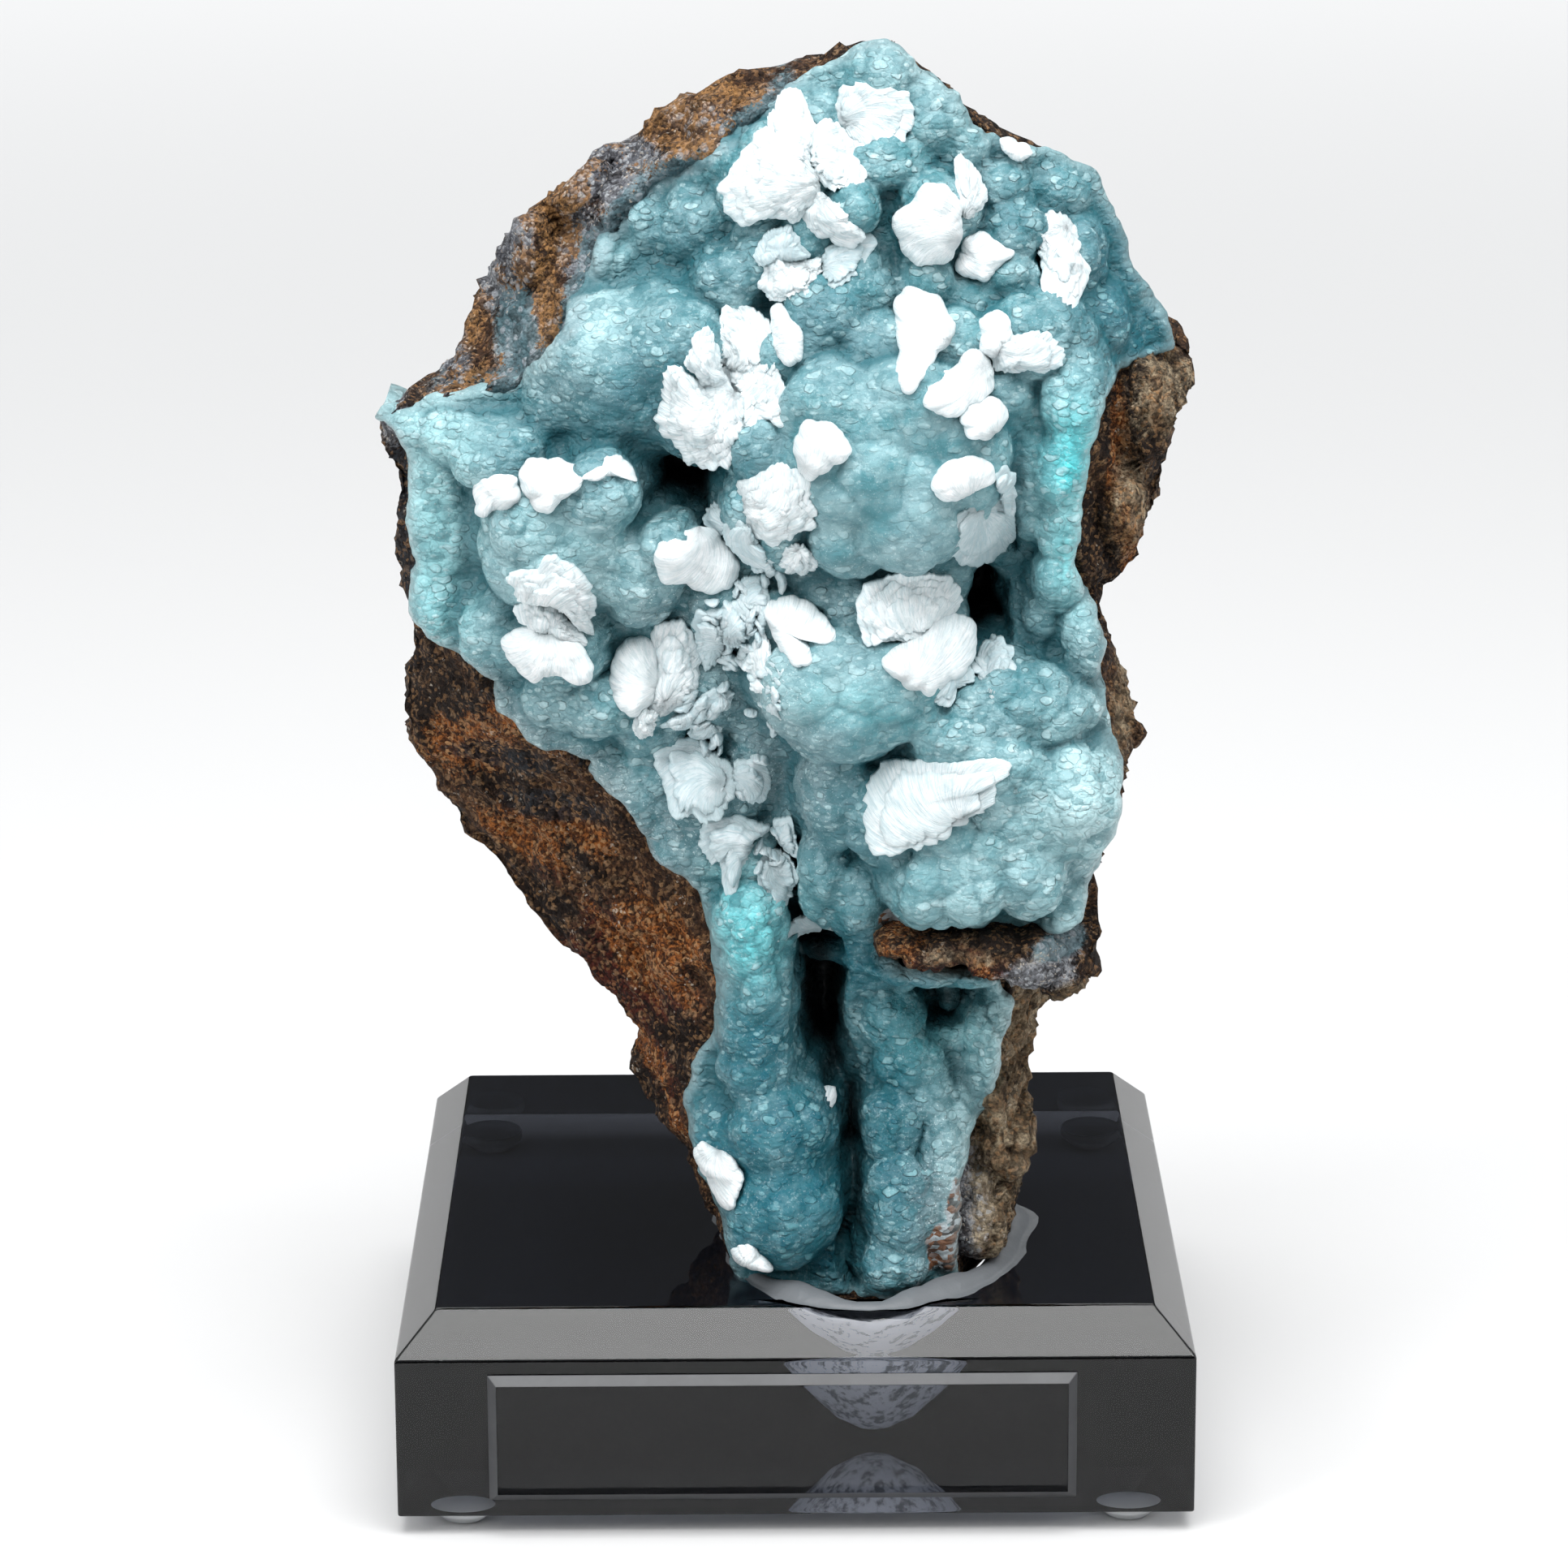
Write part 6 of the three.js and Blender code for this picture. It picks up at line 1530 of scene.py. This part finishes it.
def makeBlock(polished, frosted):
    # rows of rounded squares up the side, over the bevel and in along the top, then the
    # collar, and wavy ellipses down the carved seat
    half = (blockHigh[0] - blockLow[0]) / 2
    centre = (blockLow + blockHigh) / 2
    sideTop, bevel = blockLow[2] + block["sideHeight"], block["bevel"]
    profile = filleted([[block["underMargin"], blockLow[2]], [0, blockLow[2]], [0, sideTop],
                        [bevel, blockTop], [bevel + block["topMargin"], blockTop]],
                       block["edgeRadius"], block["support"], False)
    rows = []
    for inset, height in profile:
        ring = squareRing(half - inset, half - inset, block["edgeRadius"], block["support"],
                          block["perSide"])
        rows.append(np.column_stack([ring + centre[:2], np.full(len(ring), height)]))
    seatStart = len(rows)
    seatCentre = np.array([seatRings[-1, 1], frontFace + seatRings[-1, 2]])
    towards = rows[-1][:, :2] - seatCentre
    angle = np.arctan2(towards[:, 1], towards[:, 0])
    rim = seatRow(blockTop, angle)
    flow = 0.9 + 0.7 * noise(rim, 9, 12) + 0.5 * noise(rim, 3.5, 13)
    for grow, rise in block["collar"]:
        row = rim.copy()
        row[:, :2] = seatCentre + (rim[:, :2] - seatCentre) * (1 + (grow - 1) * flow[:, None])
        row[:, 2] += rise * flow
        rows.append(row)
    # the carving goes in towards the seat's axis, by cells that grow with the depth
    for height in np.linspace(blockTop, seatRings[0, 0], block["seatRows"])[1:]:
        row = seatRow(height, angle)
        cell = cells(row * (1, 1, 0.8), block["carveSize"], 7)[0]
        inward = (*seatCentre, height) - row
        inward /= np.linalg.norm(inward, axis=1, keepdims=True)
        fade = smoothStep(0, 3, blockTop - height)
        row += inward * (block["carveDepth"] * fade * (cell - 0.5))[:, None]
        rows.append(row)
    points, faceSets = tubeFaces(np.array(rows))
    fromSeat = np.arange(len(faceSets[0])) // len(angle) >= seatStart
    slots = np.concatenate([fromSeat.astype(int), [0], [1]])
    lip = smoothStep(*block["lip"], blockTop - points[:, 2])
    piece = buildMesh("acrylicBlock", points, faceSets, {"lip": lip}, slots=slots)
    placePiece(piece, ["acrylic_base"], "acrylic", polished, frosted)


plate = {
    "bevel": 1.4, "margin": 2.0, "edgeRadius": 0.09, "edgeSupport": 0.05,
    "cornerRadius": 0.15, "cornerSupport": 0.1, "perSide": 6,
}


def makePlate(polished, bevelled):
    # rows of rounded rectangles from the back to the bevelled front
    halfX, _, halfZ = (plateHigh - plateLow) / 2
    centre = (plateLow + plateHigh) / 2
    bevel, front, back = plate["bevel"], plateLow[1], plateHigh[1]
    profile = filleted([[plate["margin"], back], [0, back], [0, front + bevel], [bevel, front],
                        [bevel + plate["margin"], front]],
                       plate["edgeRadius"], plate["edgeSupport"], False)
    rows = []
    for inset, y in profile:
        ring = squareRing(halfX - inset, halfZ - inset, plate["cornerRadius"],
                          plate["cornerSupport"], plate["perSide"])
        rows.append(np.stack([centre[0] + ring[:, 0], np.full(len(ring), y),
                              centre[2] + ring[:, 1]], -1))
    points, faceSets = tubeFaces(np.array(rows))
    # the bevel's faces take the second material
    middles = (profile[1:, 0] + profile[:-1, 0]) / 2
    onBevel = (np.diff(profile[:, 0]) > 0) & (middles < bevel)
    slots = np.concatenate([np.repeat(onBevel.astype(int), len(rows[0])), [0, 0]])
    piece = buildMesh("labelPlate", points, faceSets, slots=slots)
    placePiece(piece, ["label_plate"], "label_acrylic", polished, bevelled)


# a foot's tread against its radius, its shoulder against its height, its flats' inner ends
# against tread and radius, and how far its top reaches into the block
foot = {
    "tread": 0.64, "shoulder": 0.55, "flat": 0.4, "edgeRadius": 0.35, "support": 0.15,
    "columns": 64, "reach": 0.15,
}


def makeFoot(node, material):
    # a lathe: the profile turned about the foot's own upright axis
    low, high = [np.array(corner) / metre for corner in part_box(node)]
    radius, height = (high[0] - low[0]) / 2, high[2] - low[2]
    tread, flat = foot["tread"] * radius, foot["flat"]
    profile = filleted([[flat * tread, 0], [tread, 0], [radius, foot["shoulder"] * height],
                        [radius, height], [flat * radius, height]],
                       foot["edgeRadius"], foot["support"], False)
    profile[:, 1] += foot["reach"] * (profile[:, 1] > height - 0.1)
    turn = np.linspace(0, 2 * np.pi, foot["columns"], endpoint=False)
    cx, cy, _ = (low + high) / 2
    grid = np.stack([ellipseRow(cx, cy, r, r, turn, low[2] + z) for r, z in profile])
    piece = buildMesh(node.replace("_", "-"), *tubeFaces(grid))
    placePiece(piece, [node], "bumper", material)


def clearFinish(name, rubSize, density, **constants):
    # polished smoky plastic, its surface a little uneven
    f = Finish(name, Transmission_Weight=1.0, **constants)
    f.absorb((0.45, 0.47, 0.52), density)
    rub = f.grain(f.place(), rubSize, 3.0, 0.6)
    return f.feed(Normal=f.bumped(rub, 0.02, 0.3))


def frostGlowFinish():
    # pale scratches in the seat, their colour also given off as a painted glow; no glow on the lip or the
    # collar, which are darker
    f = Finish("frostedGlowingSeat", Roughness=0.45, IOR=1.49, Emission_Strength=1.0)
    place, lip = f.place(), f.attribute("lip")
    marks = f.pebbles(place, 4.0)
    scratch = f.grain(f.stretched(place, (0, 0, 0), (1, 1, 0.22)), 1.3, 4.0, 0.6)
    body = f.mixed((scratch + marks * 0.3).stepped(0.5, 0.72), (0.22, 0.235, 0.25),
                   (0.9, 0.92, 0.94))
    body = f.mixed(lip, body, (0.13, 0.14, 0.15))
    # painted glow: below the lip the seat gives off its own colour, though it is no lamp
    paintedGlow = f.mixed((lip * 3).clamped(), body, (0.0, 0.0, 0.0))
    return f.feed(Base_Color=body, Emission_Color=paintedGlow,
                  Normal=f.bumped(marks * 0.6 + scratch * 0.3, 0.6, 0.6))


def bevelFinish():
    # a satin edge that shows a little paler than the plate
    f = Finish("satinBevel", Roughness=0.35, IOR=1.45, Transmission_Weight=0.25)
    rub = f.grain(f.place(), 5.0, 3.0, 0.6)
    return f.feed(Base_Color=f.mixed(rub, (0.03, 0.031, 0.034), (0.075, 0.078, 0.084)))


def bumperFinish():
    # clear soft plastic, duller where dust sits
    f = Finish("clearBumper", Base_Color=(0.93, 0.95, 0.96, 1), IOR=1.5, Transmission_Weight=0.55)
    dust = f.grain(f.place(), 1.2, 3.0, 0.6)
    return f.feed(Roughness=dust * 0.15 + 0.08)


# Light and floor, in metres

# place, target, width, height, watts
softboxes = {
    "overheadBox": [(0.05, -0.38, 1.15), (0, 0, 0.12), 1.0, 0.85, 16.0],
    "backdropBox": [(0, 2.0, 1.6), (0, 2.2, 0), 2.5, 1.5, 16.0],
    "leftBox": [(-1.1, -0.9, 0.8), (0, 0, 0.12), 0.5, 0.7, 10.5],
    "rightBox": [(1.2, -0.6, 0.6), (0, 0, 0.12), 0.4, 0.8, 4.5],
}
sky = {"From Min": 0.42, "From Max": 0.75, "To Min": 0.07, "To Max": 1.1}


def makeSoftbox(name, place, target, width, height, power):
    # an area light looks along its own -Z
    data = bpy.data.lights.new(name, "AREA")
    data.shape = "RECTANGLE"
    data.size, data.size_y = width, height
    data.energy = power
    holder = bpy.data.objects.new(name, data)
    holder.location = place
    holder.rotation_euler = (Vector(target) - Vector(place)).to_track_quat("-Z", "Y").to_euler()
    bpy.context.scene.collection.objects.link(holder)


def makeSky():
    # dim near the horizon and pale overhead, like a room with a lit ceiling
    world = bpy.data.worlds.new("studio")
    world.use_nodes = True
    tree = world.node_tree
    place, split, ramp = [tree.nodes.new("ShaderNode" + kind)
                          for kind in ("TexCoord", "SeparateXYZ", "MapRange")]
    for socket, value in sky.items():
        ramp.inputs[socket].default_value = value
    tree.links.new(place.outputs["Generated"], split.inputs[0])
    tree.links.new(split.outputs["Z"], ramp.inputs["Value"])
    background = tree.nodes["Background"]
    background.inputs["Color"].default_value = (0.97, 0.985, 1.0, 1)
    tree.links.new(ramp.outputs[0], background.inputs["Strength"])
    bpy.context.scene.world = world


def makeStage():
    # a wide floor, paler further out, where less of the light falls
    wide = 12000.0
    corners = np.array([[-wide, -wide, 0], [wide, -wide, 0], [wide, wide, 0], [-wide, wide, 0]])
    floor = buildMesh("floor", corners, [np.array([[0, 1, 2, 3]])])
    f = Finish("paleFloor", Roughness=0.9)
    away = f.node("ShaderNodeVectorMath", {"operation": "LENGTH"}, {0: f.place()}, "Value")
    tone = f.mixed(away.stepped(0.5, 3.0), (0.6, 0.6, 0.6), (0.95, 0.95, 0.95))
    floor.data.materials.append(f.feed(Base_Color=tone))
    makeSky()
    for name, settings in softboxes.items():
        makeSoftbox(name, *settings)
    bpy.context.scene.view_settings.view_transform = "Standard"


makeCamera()
makeStage()
makeCrust(crustFinish())
makeRock(rockFinish())
calciteMaterial = calciteFinish()
for number, (node, lobes) in enumerate(calciteClusters.items()):
    makeCluster(node, lobes, 1000 + 101 * number, calciteMaterial)
polishedAcrylic = clearFinish("smokedAcrylic", 14.0, 105.0, Roughness=0.02, IOR=1.46,
                              Base_Color=(1, 1, 1, 1))
makeBlock(polishedAcrylic, frostGlowFinish())
makePlate(clearFinish("plateAcrylic", 6.0, 60.0, Roughness=0.04, IOR=1.2), bevelFinish())
bumperMaterial = bumperFinish()
for end, side in itertools.product(("front", "back"), ("left", "right")):
    makeFoot(f"foot_{end}_{side}", bumperMaterial)
